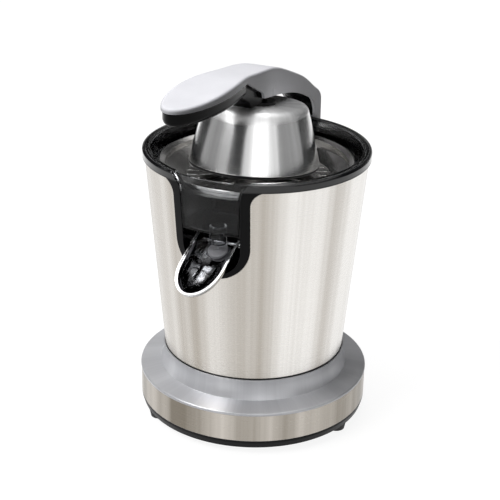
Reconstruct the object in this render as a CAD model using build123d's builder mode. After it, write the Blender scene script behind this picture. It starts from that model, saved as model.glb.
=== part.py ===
from build123d import *

import os
from math import acos, cos, hypot, pi, radians, sin, sqrt, tan

os.makedirs("parts", exist_ok=True)

# Electric citrus press with a pressing lever. Millimetres, +Z up. The origin is on the body's axis, in the
# plane that the feet stand on. The spout and the lever's handle point to -Y, the lever's hinge is at +Y.

# Fits
running_clearance = 0.05
seat_clearance = 0.2
part_clearance = 0.4
moving_gap = 0.6

# How a block sits on its place: standing on it or hanging from it, and how far past its wall a cut runs
standing = (Align.CENTER, Align.CENTER, Align.MIN)
hanging = (Align.CENTER, Align.CENTER, Align.MAX)
cut_through = 3

# Feet
foot_count = 3
foot_inset = 11.0
foot_first_angle = -41.5
foot_radius = 9.2
foot_taper = 1.2
foot_height = 6.0
foot_stem_radius = 4.0

# Base
base_radius = 105.0
plate_inset = 0.5
plate_taper = 1.5
plate_edge_height = 7.3
plate_land_height = 2.3
plate_floor = 3.0
band_inset = 0.4
band_wall = 0.8
band_height = 25.2
spigot_height = 4.0
spigot_wall = 2.0
cover_wall = 2.5
cover_lip_height = 2.4
cover_lip_round = 1.2
land_rise = 3.0
cove_spread = 2.8
cove_bend_out = 0.2
cove_bend_up = 0.33
collar_overhang = 1.4
collar_height = 18.2
collar_shelf = 13.7
base_boss_radius = 5.0

# Body shell and the black ring under it
ring_flange = 1.2
ring_overhang = 0.3
ring_spigot_height = 9.0
ring_spigot_wall = 2.5
shell_bottom_radius = 82.3
shell_top_radius = 98.8
shell_height = 180.7
shell_wall = 0.8

# Upper housing: rim, bucket, deck and bearing tower
rim_overhang = 2.2
rim_height = 7.0
rim_bead = 3.4
rim_round = 1.8
seat_depth = 1.8
bucket_wall = 2.5
bucket_depth = 58.0
deck_wall = 3.0
tower_height = 29.0
tower_wall = 2.5

# Spout window
window_half_top = 28.0
window_half_bottom = 26.0
window_drop = 86.5
window_corner = 24.0
frame_width = 7.4
frame_foot = 3.6
frame_flare = 14.0
opening_flare = 18.0
opening_lift = 2.0
frame_proud = 0.6
frame_depth = 2.6
recess_depth = 38.0
recess_wall = 2.2

# Juice collector
flange_height = 1.5
collector_wall = 2.0
collector_floor_drop = 45.0
pocket_drop = 48.9
ledge_drop = 14.5
ledge_width = 7.0
ledge_height = 2.0
chimney_gap = 1.5
chimney_height = 26.0
outlet_radius = 7.5
outlet_wall = 2.0

# Strainer
strainer_radius = 86.2
strainer_lip_height = 2.5
strainer_lip_width = 4.0
strainer_floor_radius = 66.0
strainer_depth = 14.0
strainer_wall_drop = 5.1
strainer_wall = 1.0
strainer_slots = 36
strainer_slot_width = 2.2
strainer_slot_length = 11.0
strainer_slot_radius = 57.5
strainer_inner_slots = 24
strainer_inner_slot_radius = 41.0
strainer_inner_slot_length = 19.5
strainer_collar_height = 9.0
strainer_collar_wall = 2.2

# Reamer cone
reamer_radius = 37.0
reamer_plate = 4.0
reamer_height = 38.5
reamer_core = 0.74
reamer_ribs = 10
rib_width = 3.2
rib_inset = 2.0
reamer_plate_round = 1.3
reamer_waist = 0.72
reamer_waist_height = 0.5
reamer_tip_slope = 0.35
reamer_skirt_wall = 2.0
reamer_skirt_height = 6.0
reamer_lift = 2.5

# Drive
shaft_radius = 5.0
shaft_flat = 3.8
shaft_flat_length = 26.0
shaft_top_drop = 22.0
bush_wall = 3.0
bush_length = 14.0
lower_bush_wall = 2.0
lower_bush_length = 8.0
seal_height = 4.0
seal_round = 1.2
press_travel = 2.5
gearbox_height = 33.0
gearbox_wall = 2.5
gearbox_floor = 3.0
gear_side_gap = 1.5
gear_floor_gap = 1.2
gear_step_gap = 1.8
gear_pressure_angle = radians(20)
gear_addendum = 0.8
gear_dedendum = 1.05
gear_backlash = 0.24
flank_steps = 4
output_module = 1.25
output_teeth = 48
output_face = 9.0
compound_small_teeth = 14
motor_module = 1.0
compound_big_teeth = 45
compound_big_face = 6.0
pinion_teeth = 14
compound_direction = 90.0
motor_direction = 190.0
axle_radius = 3.0
hub_radius = 6.0
output_lug_angles = (-20, 210)
compound_lug_angle = 47
lug_radius = 5.2
lug_height = 4.0

# Motor
motor_radius = 27.0
motor_length = 58.0
motor_wall = 2.0
motor_top_plate = 3.0
motor_cap_height = 10.0
motor_shaft_radius = 2.5
motor_boss_radius = 5.0
motor_screw_circle = 14.5
motor_screw_angles = (146, 254)
rotor_radius = 18.0
rotor_length = 34.0
rotor_slots = 10
rotor_slot_width = 2.4
rotor_slot_depth = 6.0
commutator_radius = 8.0
commutator_length = 8.0
magnet_wall = 4.0
magnet_half_angle = 62.0
rotor_gap = 3.0

# Thrust pad, return spring and start switch
thrust_radius = 6.0
thrust_height = 8.0
thrust_tube_wall = 3.0
spring_length = 16.0
spring_wire = 0.55
spring_radius = 4.4
spring_turns = 5
switch_arm_width = 5.0
switch_arm_height = 3.0
switch_arm_reach = 19.0
switch_pad_proud = 1.0
switch_length = 12.0
switch_width = 7.0
switch_height = 16.0
plunger_radius = 1.2
plunger_length = 14.0

# Spout, as it hangs open
pivot_forward = 66.0
pivot_drop = 68.0
spout_tilt = 26.0
spout_half_width = 20.4
spout_straight_end = 39.5
spout_tip = 72.5
spout_back = 5.0
spout_bottom = -0.8
spout_edge = 14.7
spout_strip_half = 8.0
spout_wall = 0.8
spout_liner_wall = 1.5
spout_liner_below_edge = 0.6
knuckle_radius = 2.7
spout_pin_radius = 1.5
pad_forward = 11.5
pad_radius = 8.8
pad_height = 3.0
pad_round = 0.8

# Dome
dome_bottom_drop = 11.9
dome_bottom_radius = 57.6
dome_corner_radius = 43.8
dome_side_radius = 600.0
dome_shoulder_round = 6.0
dome_least_round = 1.0
dome_height = 51.3
dome_lean = 5.75
dome_wall = 0.8
dome_ring_height = 3.0
liner_wall = 2.4
liner_ribs = 12
liner_rib_width = 2.4
liner_rib_depth = 4.0
dome_flange_radius = 16.0
dome_flange_height = 3.0
dome_tongue_half = 6.0
dome_tongue_radius = 7.5
dome_pin_height = 56.0
dome_pin_radius = 2.5
dome_pin_half = 12.0
dome_slot_gap = 3.0
dome_ring_lip = 5.0
dome_ring_lip_wall = 2.0
dome_screw_count = 3
dome_screw_circle = 11.0
dome_screw_depth = 2.4
liner_rib_bottom = 7.0
liner_rib_top = 40.0

# Lever
hinge_behind_rim = 7.0
hinge_drop = 15.0
hinge_pin_radius = 3.0
hinge_lobe_radius = 6.4
arm_half_width = 15.0
arm_side_wall = 2.5
arm_straight_y = 20.0
handle_half_width = 22.4
handle_tip = 164.5
handle_rise = 81.0
handle_middle = 105.0
skirt_height = 6.6
lever_wall = 2.5
lever_edge_round = 2.4
least_top_slope = 0.4
most_cross_slope = 0.9
root_lift = 1.6
lever_upper = ((6.0, 13.0), (4.2, 20.0), (-8.0, 29.1), (-30.0, 42.5), (-67.0, 58.8), (-106.0, 72.0))
lever_crest = ((40.0, 3.2), (58.0, 1.2), (75.0, 0.0), (120.0, 0.6), (168.0, 2.6))
lever_lower = (
    (-132.0, 51.5), (-105.5, 47.2), (-75.2, 41.4), (-43.2, 31.7), (-25.0, 24.0), (-16.5, 18.5),
    (-12.5, 12.0), (-10.6, 6.0), (-10.2, 2.0),
)
lever_widths = ((24.0, 17.0), (60.0, 18.0), (77.0, 20.3), (90.0, 21.8))
neck_back = 27.0
neck_back_rise = 57.0
neck_front = 62.0
cover_depth = 11.0
cover_inset = 1.4
cover_round = 4.0
cover_strip = 3.0
pan_wall = 2.0
pan_back = 62.4
neck_half = 12.2
neck_slope_y = 45.0
neck_slope_rise = 53.0
neck_foot_y = 40.0
neck_foot_back_y = 20.0
neck_foot_rise = 46.5
neck_top_rise = 61.0
ear_foot_rise = 49.0
ear_back_y = 12.0
lever_boss_radius = 4.0
lever_screw_places = ((-11.0, -75.0), (11.0, -75.0), (0.0, -140.0))
lever_screw_depth = 3.5
lever_bush_wall = 1.5
lever_bush_length = 8.0
lever_bush_flange = 0.5

# Hinge bracket
ear_width = 4.9
ear_radius = 9.0
bracket_height = 54.0
bracket_web_drop = 8.0
bracket_round = 3.0
bracket_screw_half = 10.0
bracket_screw_drops = (5.0, 14.0)
hinge_pad_half = 18.0
hinge_pad_depth = 16.0
hinge_pad_height = 22.5

# Fasteners
screw_radius = 1.6
screw_head_radius = 3.2
screw_head_height = 2.0
screw_boss_radius = 4.0
tie_rod_radius = 2.0
tie_nut_radius = 4.0
tie_nut_height = 3.2
tie_rod_inset = 8.8
tie_rod_tail = 1.6
tie_rod_angles = (62, 130, 230, 298)

# Cord gland at the rear of the base
gland_radius = 6.0
gland_flange_radius = 8.5
gland_flange = 2.0
gland_bore_radius = 3.6
gland_length = 10.0

# Levels that follow from the sizes above
plate_z = foot_height
floor_z = plate_z + plate_floor
band_z = plate_z + plate_edge_height
cover_z = band_z + band_height
land_edge_z = cover_z + cover_lip_height
land_z = land_edge_z + land_rise
collar_z = land_z + collar_height
shell_z = collar_z + ring_flange
rim_z = shell_z + shell_height
top_z = rim_z + rim_height
seat_z = top_z - seat_depth
deck_z = top_z - bucket_depth
deck_top_z = deck_z + deck_wall
tower_z = deck_z + tower_height

# Radii that follow
band_radius = base_radius - band_inset
band_inner_radius = band_radius - band_wall
spigot_radius = band_inner_radius - seat_clearance / 2
collar_radius = shell_bottom_radius + collar_overhang
collar_bore = collar_radius - collar_shelf
cove_foot_radius = collar_radius + cove_spread
foot_circle_radius = base_radius - foot_inset
tie_rod_circle = shell_bottom_radius - tie_rod_inset
rim_radius = shell_top_radius + rim_overhang
seat_radius = rim_radius - rim_bead
bush_radius = shaft_radius + bush_wall
tower_radius = bush_radius + tower_wall
hinge_y = rim_radius + hinge_behind_rim
hinge_z = top_z - hinge_drop
above_all = top_z + handle_rise + bucket_depth
far_out = base_radius + handle_tip


def shell_radius(z):
    """Outer radius of the tapered body shell at a height."""
    return shell_bottom_radius + (shell_top_radius - shell_bottom_radius) * (z - shell_z) / shell_height


def bucket_radius(z):
    """Outer radius of the bucket inside the shell at a height."""
    return shell_radius(z) - shell_wall - part_clearance


def around(radius, angle):
    """Point on a circle, with the angle measured from the front towards +X."""
    return (radius * sin(radians(angle)), -radius * cos(radians(angle)))


def section(points):
    """Half section through the body's axis from (radius, height) points, to be revolved."""
    with BuildSketch(Plane.XZ, mode=Mode.PRIVATE) as half:
        Polygon(*points, align=None)
    return half.sketch


def inset_curve(points, amount):
    """Points of a curve moved to the left of its direction of travel."""
    moved = []
    for index, (a, b) in enumerate(points):
        before = points[max(index - 1, 0)]
        after = points[min(index + 1, len(points) - 1)]
        along = (after[0] - before[0], after[1] - before[1])
        length = hypot(*along)
        moved.append((a - amount * along[1] / length, b + amount * along[0] / length))
    return moved


# Feet: turned rubber buttons with a stem that plugs into the base plate
foot_places = [around(foot_circle_radius, foot_first_angle + 360 / foot_count * i) for i in range(foot_count)]
with BuildPart() as feet:
    with Locations(*[(x, y, 0) for x, y in foot_places]):
        Cone(foot_radius - foot_taper, foot_radius, foot_height, align=standing)
        Cylinder(foot_stem_radius, floor_z, align=standing)
feet.part.label = "feet"
export_step(feet.part, "parts/feet.step")

# Base plate: black tray with a spigot that centres the steel band
base_boss_places = [
    around(foot_circle_radius, foot_first_angle + 360 / foot_count * (i + 0.5)) for i in range(foot_count)
]
plate_radius = base_radius - plate_inset
with BuildPart() as base_plate:
    revolve(section([
        (0, plate_z),
        (plate_radius - plate_taper, plate_z),
        (plate_radius, band_z - plate_land_height),
        (plate_radius, band_z),
        (spigot_radius, band_z),
        (spigot_radius, band_z + spigot_height),
        (spigot_radius - spigot_wall, band_z + spigot_height),
        (spigot_radius - spigot_wall, floor_z),
        (0, floor_z),
    ]), axis=Axis.Z)
    with Locations(*[(x, y, floor_z) for x, y in foot_places]):
        Hole(foot_stem_radius)
    with Locations(*[(x, y, floor_z) for x, y in base_boss_places]):
        Hole(screw_radius + seat_clearance)
    with Locations(*[(x, y, plate_z) for x, y in base_boss_places]):
        Cylinder(screw_head_radius + seat_clearance, screw_head_height,
                 align=standing, mode=Mode.SUBTRACT)
base_plate.part.label = "base_plate"
export_step(base_plate.part, "parts/base_plate.step")

# Base band: rolled strip of brushed steel, with the hole for the cord gland at the rear
gland_z = band_z + band_height / 2
gland_plane = Plane(origin=(0, band_radius, gland_z), x_dir=(1, 0, 0), z_dir=(0, 1, 0))
with BuildPart() as base_band:
    revolve(section([
        (band_inner_radius, band_z),
        (band_radius, band_z),
        (band_radius, cover_z),
        (band_inner_radius, cover_z),
    ]), axis=Axis.Z)
    with BuildSketch(gland_plane.offset(gland_flange)):
        Circle(gland_radius + seat_clearance)
    extrude(amount=-gland_length, mode=Mode.SUBTRACT)
base_band.part.label = "base_band"
export_step(base_band.part, "parts/base_band.step")

# Cord gland: flanged bush through the band
with BuildPart() as cord_gland:
    with BuildSketch(gland_plane):
        Circle(gland_flange_radius)
    extrude(amount=gland_flange)
    with BuildSketch(gland_plane):
        Circle(gland_radius)
    extrude(amount=-gland_length)
    with BuildSketch(gland_plane.offset(gland_flange)):
        Circle(gland_bore_radius)
    extrude(amount=-gland_length - gland_flange, mode=Mode.SUBTRACT)
    gland_rims = cord_gland.edges().filter_by(GeomType.CIRCLE).group_by(Axis.Y)[-1]
    fillet(gland_rims.sort_by(SortBy.RADIUS)[-1], gland_flange / 2)
cord_gland.part.label = "cord_gland"
export_step(cord_gland.part, "parts/cord_gland.step")

# Base cover: silver land, hollow cove and the collar that the body stands on
with BuildPart() as base_cover:
    with BuildSketch(Plane.XZ):
        with BuildLine():
            cove_foot = (cove_foot_radius, land_z)
            cove_top = (collar_radius, collar_z)
            cove_mid = (
                collar_radius + cove_spread * cove_bend_out,
                land_z + collar_height * cove_bend_up,
            )
            Polyline((base_radius, cover_z), (base_radius, land_edge_z), cove_foot)
            ThreePointArc(cove_foot, cove_mid, cove_top)
            Polyline(
                cove_top,
                (collar_bore, collar_z),
                (collar_bore, collar_z - cover_wall),
                (collar_radius - cover_wall, collar_z - cover_wall),
                (collar_radius - cover_wall, land_z - cover_wall),
                (spigot_radius - spigot_wall, land_edge_z - cover_wall),
                (spigot_radius - spigot_wall, cover_z - spigot_height),
                (spigot_radius, cover_z - spigot_height),
                (spigot_radius, cover_z),
                (base_radius, cover_z),
            )
        make_face()
    revolve(axis=Axis.Z)
    lip_edge = base_cover.edges().filter_by(GeomType.CIRCLE).sort_by(SortBy.RADIUS)[-2:].sort_by(Axis.Z)[-1]
    fillet(lip_edge, cover_lip_round)
    with Locations(*[(x, y, floor_z) for x, y in base_boss_places]):
        Cylinder(base_boss_radius, land_edge_z - floor_z, align=standing)
        Cylinder(screw_radius, band_height, align=standing, mode=Mode.SUBTRACT)
    with Locations(*[(*around(tie_rod_circle, angle), collar_z) for angle in tie_rod_angles]):
        Cylinder(tie_rod_radius + seat_clearance, cut_through * cover_wall, mode=Mode.SUBTRACT)
base_cover.part.label = "base_cover"
export_step(base_cover.part, "parts/base_cover.step")

# Base screws: pan-head screws from below, through the plate into the cover's bosses
with BuildPart() as base_screws:
    with Locations(*[(x, y, plate_z) for x, y in base_boss_places]):
        Cylinder(screw_head_radius, screw_head_height, align=standing)
        Cylinder(screw_radius, band_height / 2, align=standing)
base_screws.part.label = "base_screws"
export_step(base_screws.part, "parts/base_screws.step")

# Lower ring: black ring whose edge shows as a thin line between base and body
ring_radius = shell_bottom_radius - shell_wall - seat_clearance
with BuildPart() as lower_ring:
    revolve(section([
        (collar_bore, collar_z),
        (shell_bottom_radius + ring_overhang, collar_z),
        (shell_bottom_radius + ring_overhang, shell_z),
        (ring_radius, shell_z),
        (ring_radius, shell_z + ring_spigot_height),
        (ring_radius - ring_spigot_wall, shell_z + ring_spigot_height),
        (ring_radius - ring_spigot_wall, shell_z),
        (collar_bore, shell_z),
    ]), axis=Axis.Z)
    with Locations(*[(*around(tie_rod_circle, angle), shell_z) for angle in tie_rod_angles]):
        Cylinder(tie_rod_radius + seat_clearance, cut_through * ring_flange, mode=Mode.SUBTRACT)
lower_ring.part.label = "lower_ring"
export_step(lower_ring.part, "parts/lower_ring.step")


def window_view(grow, foot, flare, level):
    """Front view of the spout window up to a level, grown at its sides and foot, with its top corners flared."""
    half_top = window_half_top + grow
    half_bottom = window_half_bottom + grow
    bottom = top_z - window_drop - foot
    band = rim_height + flare
    with BuildSketch(Plane.XZ, mode=Mode.PRIVATE) as view:
        Polygon(
            (-half_bottom, bottom), (half_bottom, bottom), (half_top, level), (-half_top, level), align=None,
        )
        fillet(view.vertices().group_by(Axis.Y)[0], window_corner + grow)
        with Locations((0, level + band / 2)):
            Rectangle(far_out, band)
        corners = view.vertices().filter_by_position(Axis.Y, level - seat_clearance, level + seat_clearance)
        fillet(corners.sort_by(Axis.X)[1:-1], flare)
        with Locations((0, level + band / 2)):
            Rectangle(far_out, band, mode=Mode.SUBTRACT)
    return view.sketch


def frame_view(grow):
    """Outside of the black frame: its top corners flare into the underside of the rim."""
    return window_view(frame_width + grow, frame_foot + grow, frame_flare, rim_z)


def opening_view(grow):
    """Opening of the window: its top corners flare into the top of the rim."""
    return window_view(grow, grow, opening_flare, top_z + opening_lift)


# Body shell: rolled brushed-steel cone, notched at the front for the window, drilled for the bracket
bracket_screw_places = [
    (side * bracket_screw_half, deck_z - drop) for side in (-1, 1) for drop in bracket_screw_drops
]
bracket_back_y = hinge_y + ear_radius
with BuildPart() as body_shell:
    revolve(section([
        (shell_bottom_radius - shell_wall, shell_z),
        (shell_bottom_radius, shell_z),
        (shell_top_radius, rim_z),
        (shell_top_radius - shell_wall, rim_z),
    ]), axis=Axis.Z)
    extrude(frame_view(seat_clearance), amount=far_out, mode=Mode.SUBTRACT)
    with BuildSketch(Plane(origin=(0, bracket_back_y, 0), x_dir=(-1, 0, 0), z_dir=(0, 1, 0))):
        with Locations(*[(-x, z) for x, z in bracket_screw_places]):
            Circle(screw_radius + seat_clearance)
    extrude(amount=-bracket_back_y, mode=Mode.SUBTRACT)
body_shell.part.label = "body_shell"
export_step(body_shell.part, "parts/body_shell.step")

# Gear train places: output gear on the body's axis, compound gear behind it, motor to the left
compound_distance = output_module * (output_teeth + compound_small_teeth) / 2
motor_distance = motor_module * (compound_big_teeth + pinion_teeth) / 2
compound_x = compound_distance * cos(radians(compound_direction))
compound_y = compound_distance * sin(radians(compound_direction))
motor_x = compound_x + motor_distance * cos(radians(motor_direction))
motor_y = compound_y + motor_distance * sin(radians(motor_direction))
gearbox_z = deck_z - gearbox_height
gear_floor_z = gearbox_z + gearbox_floor
output_reach = output_module * (output_teeth / 2 + gear_addendum) + gear_side_gap
compound_reach = motor_module * (compound_big_teeth / 2 + gear_addendum) + gear_side_gap
motor_bay = motor_screw_circle + screw_head_radius + seat_clearance
lug_offset = gearbox_wall + screw_head_radius + seat_clearance


def polar(middle_x, middle_y, radius, angle):
    """Point at a radius and angle from a middle, with the angle measured from +X."""
    return (middle_x + radius * cos(radians(angle)), middle_y + radius * sin(radians(angle)))


motor_screw_places = [polar(motor_x, motor_y, motor_screw_circle, angle) for angle in motor_screw_angles]
lug_places = [polar(0, 0, output_reach + lug_offset, angle) for angle in output_lug_angles]
lug_places.append(polar(compound_x, compound_y, compound_reach + lug_offset, compound_lug_angle))

# Upper housing: rim, bucket and deck in one black moulding, with bosses under the deck
recess_y = -(shell_radius(top_z - window_drop) - recess_depth)
with BuildPart() as upper_housing:
    revolve(section([
        (bush_radius, deck_z),
        (bucket_radius(deck_z), deck_z),
        (bucket_radius(rim_z), rim_z),
        (rim_radius, rim_z),
        (rim_radius, top_z),
        (seat_radius, top_z),
        (seat_radius, seat_z),
        (bucket_radius(seat_z) - bucket_wall, seat_z),
        (bucket_radius(deck_top_z) - bucket_wall, deck_top_z),
        (tower_radius, deck_top_z),
        (tower_radius, tower_z),
        (bush_radius, tower_z),
    ]), axis=Axis.Z)
    rim_edges = upper_housing.edges().filter_by(GeomType.CIRCLE).group_by(Axis.Z)[-1].sort_by(SortBy.RADIUS)
    fillet(rim_edges[-1], rim_round)
    fillet(rim_edges[0], rim_round / 2)
    slot = frame_view(seat_clearance)
    extrude(slot.moved(Location((0, recess_y + recess_wall + seat_clearance, 0))), amount=far_out,
            mode=Mode.SUBTRACT)
    opening = opening_view(0)
    extrude(opening.moved(Location((0, recess_y, 0))), amount=far_out, mode=Mode.SUBTRACT)
    with Locations(*[(*around(tie_rod_circle, angle), deck_z) for angle in tie_rod_angles]):
        Cylinder(screw_boss_radius, bush_length, align=hanging)
        Cylinder(tie_rod_radius, bush_length, align=hanging, mode=Mode.SUBTRACT)
    with Locations(*[(x, y, deck_z) for x, y in lug_places]):
        Cylinder(screw_boss_radius, deck_wall + gearbox_wall * 2, align=standing)
        Cylinder(screw_radius, deck_wall + gearbox_wall, align=standing,
                 mode=Mode.SUBTRACT)
    with BuildSketch(Plane.XY.offset(deck_z)):
        with Locations((0, shell_radius(deck_z))):
            Rectangle(2 * hinge_pad_half, 2 * hinge_pad_depth)
        Circle(bucket_radius(deck_z - hinge_pad_height), mode=Mode.INTERSECT)
    extrude(amount=-hinge_pad_height)
    with BuildSketch(Plane(origin=(0, bracket_back_y, 0), x_dir=(-1, 0, 0), z_dir=(0, 1, 0))):
        with Locations(*[(-x, z) for x, z in bracket_screw_places]):
            Circle(screw_radius)
    extrude(amount=-bracket_back_y + shell_radius(deck_z) - hinge_pad_depth - bucket_wall, mode=Mode.SUBTRACT)
    with Locations((compound_x, compound_y, deck_z)):
        Cylinder(axle_radius, deck_wall, mode=Mode.SUBTRACT)
upper_housing.part.label = "upper_housing"
export_step(upper_housing.part, "parts/upper_housing.step")

# Spout bezel: black frame of the window and the recess behind it, in one moulding
pivot_y = -pivot_forward
pivot_z = top_z - pivot_drop
frame_foot_z = top_z - window_drop - frame_width * 2
with BuildPart() as bezel_frame:
    revolve(section([
        (shell_radius(frame_foot_z) - frame_depth, frame_foot_z),
        (shell_radius(frame_foot_z) + frame_proud, frame_foot_z),
        (shell_radius(rim_z) + frame_proud, rim_z),
        (shell_radius(rim_z) - frame_depth, rim_z),
    ]), axis=Axis.Z)
    extrude(frame_view(0), amount=far_out, mode=Mode.INTERSECT)
    extrude(opening, amount=far_out, mode=Mode.SUBTRACT)
with BuildPart() as recess_tub:
    extrude(opening_view(recess_wall).moved(Location((0, recess_y + recess_wall, 0))), amount=far_out)
    extrude(opening.moved(Location((0, recess_y, 0))), amount=far_out, mode=Mode.SUBTRACT)
    revolve(section([
        (0, frame_foot_z),
        (shell_radius(frame_foot_z) - frame_depth / 2, frame_foot_z),
        (shell_radius(rim_z) - frame_depth / 2, rim_z),
        (0, rim_z),
    ]), axis=Axis.Z, mode=Mode.INTERSECT)
collector_floor_z = top_z - collector_floor_drop
bowl_room_z = collector_floor_z - part_clearance
with BuildPart() as spout_bezel:
    add(bezel_frame.part)
    add(recess_tub.part)
    revolve(section([
        (0, bowl_room_z),
        (bucket_radius(bowl_room_z) - bucket_wall, bowl_room_z),
        (bucket_radius(rim_z) - bucket_wall, rim_z),
        (0, rim_z),
    ]), axis=Axis.Z, mode=Mode.SUBTRACT)
    with BuildSketch(Plane.YZ):
        with Locations((pivot_y, pivot_z)):
            Circle(spout_pin_radius)
    extrude(amount=window_half_top + recess_wall / 2, both=True, mode=Mode.SUBTRACT)
spout_bezel.part.label = "spout_bezel"
export_step(spout_bezel.part, "parts/spout_bezel.step")

# Spout pin: steel rod between the recess walls
with BuildPart() as spout_pin:
    with BuildSketch(Plane.YZ):
        with Locations((pivot_y, pivot_z)):
            Circle(spout_pin_radius)
    extrude(amount=window_half_bottom + recess_wall / 2, both=True)
spout_pin.part.label = "spout_pin"
export_step(spout_pin.part, "parts/spout_pin.step")

# The spout is drawn on a plane tilted about its pin: local -Y runs forward along the trough
tilt = radians(spout_tilt)
spout_plane = Plane(origin=(0, pivot_y, pivot_z), x_dir=(1, 0, 0), z_dir=(0, -sin(tilt), cos(tilt)))
spout_up = Axis(spout_plane.origin, spout_plane.z_dir)


def trough(inset):
    """Oval bar with a round front on the spout's plane, its widest level at the edge, inset from the outside."""
    half = spout_half_width - inset
    nose = spout_tip - spout_straight_end - inset
    depth = spout_edge - spout_bottom - inset
    with BuildPart(mode=Mode.PRIVATE) as bar:
        Sphere(half)
        with BuildSketch(Plane.XZ):
            Circle(half)
        extrude(amount=-spout_straight_end * half / nose)
        scale(by=(1, nose / half, depth / half))
    return bar.part.moved(spout_plane.location * Location((0, -spout_straight_end, spout_edge)))


def above(level):
    """Block on the spout's plane that holds everything higher than a level."""
    with BuildPart(mode=Mode.PRIVATE) as block:
        with BuildSketch(spout_plane.offset(level)):
            Rectangle(far_out, far_out)
        extrude(amount=2 * spout_tip)
    return block.part


def behind(forward):
    """Block on the spout's plane that holds everything further back than a distance from the pin."""
    with BuildPart(mode=Mode.PRIVATE) as block:
        with BuildSketch(spout_plane.offset(-spout_tip)):
            with Locations((0, -forward)):
                Rectangle(far_out, 2 * spout_tip, align=(Align.CENTER, Align.MIN))
        extrude(amount=2 * spout_tip)
    return block.part


# Spout shell: drawn steel trough with a polished edge
liner_inset = spout_wall + seat_clearance / 2
shell_outside = trough(0)
shell_inside = trough(spout_wall)
over_edge = above(spout_edge)
spout_rear = behind(spout_back)
with BuildPart() as spout_shell:
    add(shell_outside)
    add(shell_inside, mode=Mode.SUBTRACT)
    add(over_edge, mode=Mode.SUBTRACT)
    add(spout_rear, mode=Mode.SUBTRACT)
spout_shell.part.label = "spout_shell"
export_step(spout_shell.part, "parts/spout_shell.step")

# Spout liner: black channel inside the shell, with the knuckle that turns on the pin
channel_inset = liner_inset + spout_liner_wall
liner_bottom = spout_bottom + liner_inset
channel_floor = spout_bottom + channel_inset
knuckle_half = spout_half_width - liner_inset - spout_liner_wall
liner_outside = trough(liner_inset)
liner_channel = trough(channel_inset)
over_liner = above(spout_edge - spout_liner_below_edge)
with BuildPart() as spout_liner:
    add(liner_outside)
    add(liner_channel, mode=Mode.SUBTRACT)
    add(over_liner, mode=Mode.SUBTRACT)
    add(spout_rear, mode=Mode.SUBTRACT)
    with BuildSketch(Plane.YZ):
        with Locations((pivot_y, pivot_z)):
            Circle(knuckle_radius)
    extrude(amount=knuckle_half, both=True)
    with BuildSketch(spout_plane.offset(liner_bottom)):
        Rectangle(2 * spout_strip_half, spout_back, align=(Align.CENTER, Align.MAX))
    extrude(amount=spout_liner_wall)
    with BuildSketch(Plane.YZ):
        with Locations((pivot_y, pivot_z)):
            Circle(spout_pin_radius + running_clearance)
    extrude(amount=spout_half_width * 2, both=True, mode=Mode.SUBTRACT)
spout_liner.part.label = "spout_liner"
export_step(spout_liner.part, "parts/spout_liner.step")

# Drip pad: grey silicone disc on the channel's floor, under the outlet
with BuildPart() as drip_pad:
    with BuildSketch(spout_plane.offset(channel_floor)):
        with Locations((0, -pad_forward)):
            Circle(pad_radius)
    extrude(amount=pad_height)
    fillet(drip_pad.faces().sort_by(spout_up)[-1].edges(), pad_round)
    add(liner_channel, mode=Mode.INTERSECT)
drip_pad.part.label = "drip_pad"
export_step(drip_pad.part, "parts/drip_pad.step")

# Juice collector: clear bowl with a pocket that fills the window, and the outlet tube over the pad
pocket_z = top_z - pocket_drop
ledge_z = top_z - ledge_drop
flange_z = seat_z + flange_height
chimney_radius = tower_radius + chimney_gap
outlet_mouth_z = pivot_z + channel_floor + pad_height + part_clearance
outlet_y = pivot_y - pad_forward


def bowl_radius(z):
    """Outer radius of the collector's wall inside the bucket."""
    return bucket_radius(z) - bucket_wall - part_clearance


def pocket_block(inset, bottom):
    """Solid behind the window, up to the flange, inset from the window's sides and the shell's surface."""
    with BuildPart(mode=Mode.PRIVATE) as block:
        with BuildSketch(Plane.XZ.offset(part_clearance + inset - recess_y)):
            add(opening_view(-part_clearance - inset))
            with Locations((0, bottom)):
                Rectangle(far_out, far_out, align=(Align.CENTER, Align.MAX), mode=Mode.SUBTRACT)
        extrude(amount=far_out)
        revolve(section([
            (0, bottom),
            (shell_radius(bottom) - inset, bottom),
            (shell_radius(flange_z) - inset, flange_z),
            (0, flange_z),
        ]), axis=Axis.Z, mode=Mode.INTERSECT)
    return block.part


pocket_outside = pocket_block(0, pocket_z)
pocket_inside = pocket_block(collector_wall, pocket_z + collector_wall)
with BuildPart() as juice_collector:
    revolve(section([
        (0, collector_floor_z),
        (bowl_radius(collector_floor_z), collector_floor_z),
        (bowl_radius(seat_z), seat_z),
        (seat_radius - part_clearance, seat_z),
        (seat_radius - part_clearance, flange_z),
        (0, flange_z),
    ]), axis=Axis.Z)
    add(pocket_outside)
    revolve(section([
        (0, collector_floor_z + collector_wall),
        (bowl_radius(collector_floor_z) - collector_wall, collector_floor_z + collector_wall),
        (bowl_radius(seat_z) - collector_wall, flange_z),
        (0, flange_z),
    ]), axis=Axis.Z, mode=Mode.SUBTRACT)
    add(pocket_inside, mode=Mode.SUBTRACT)
    revolve(section([
        (bowl_radius(ledge_z) - collector_wall - ledge_width, ledge_z - ledge_height),
        (bowl_radius(ledge_z) - collector_wall / 2, ledge_z - ledge_height),
        (bowl_radius(ledge_z) - collector_wall / 2, ledge_z),
        (bowl_radius(ledge_z) - collector_wall - ledge_width, ledge_z),
    ]), axis=Axis.Z)
    with Locations((0, 0, collector_floor_z)):
        Cylinder(chimney_radius + collector_wall, chimney_height, align=standing)
        Cylinder(chimney_radius, chimney_height, align=standing,
                 mode=Mode.SUBTRACT)
    with Locations((0, outlet_y, outlet_mouth_z)):
        Cylinder(outlet_radius, pocket_z + collector_wall - outlet_mouth_z,
                 align=standing)
        Cylinder(outlet_radius - outlet_wall, pocket_z + collector_wall - outlet_mouth_z,
                 align=standing, mode=Mode.SUBTRACT)
juice_collector.part.label = "juice_collector"
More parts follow.
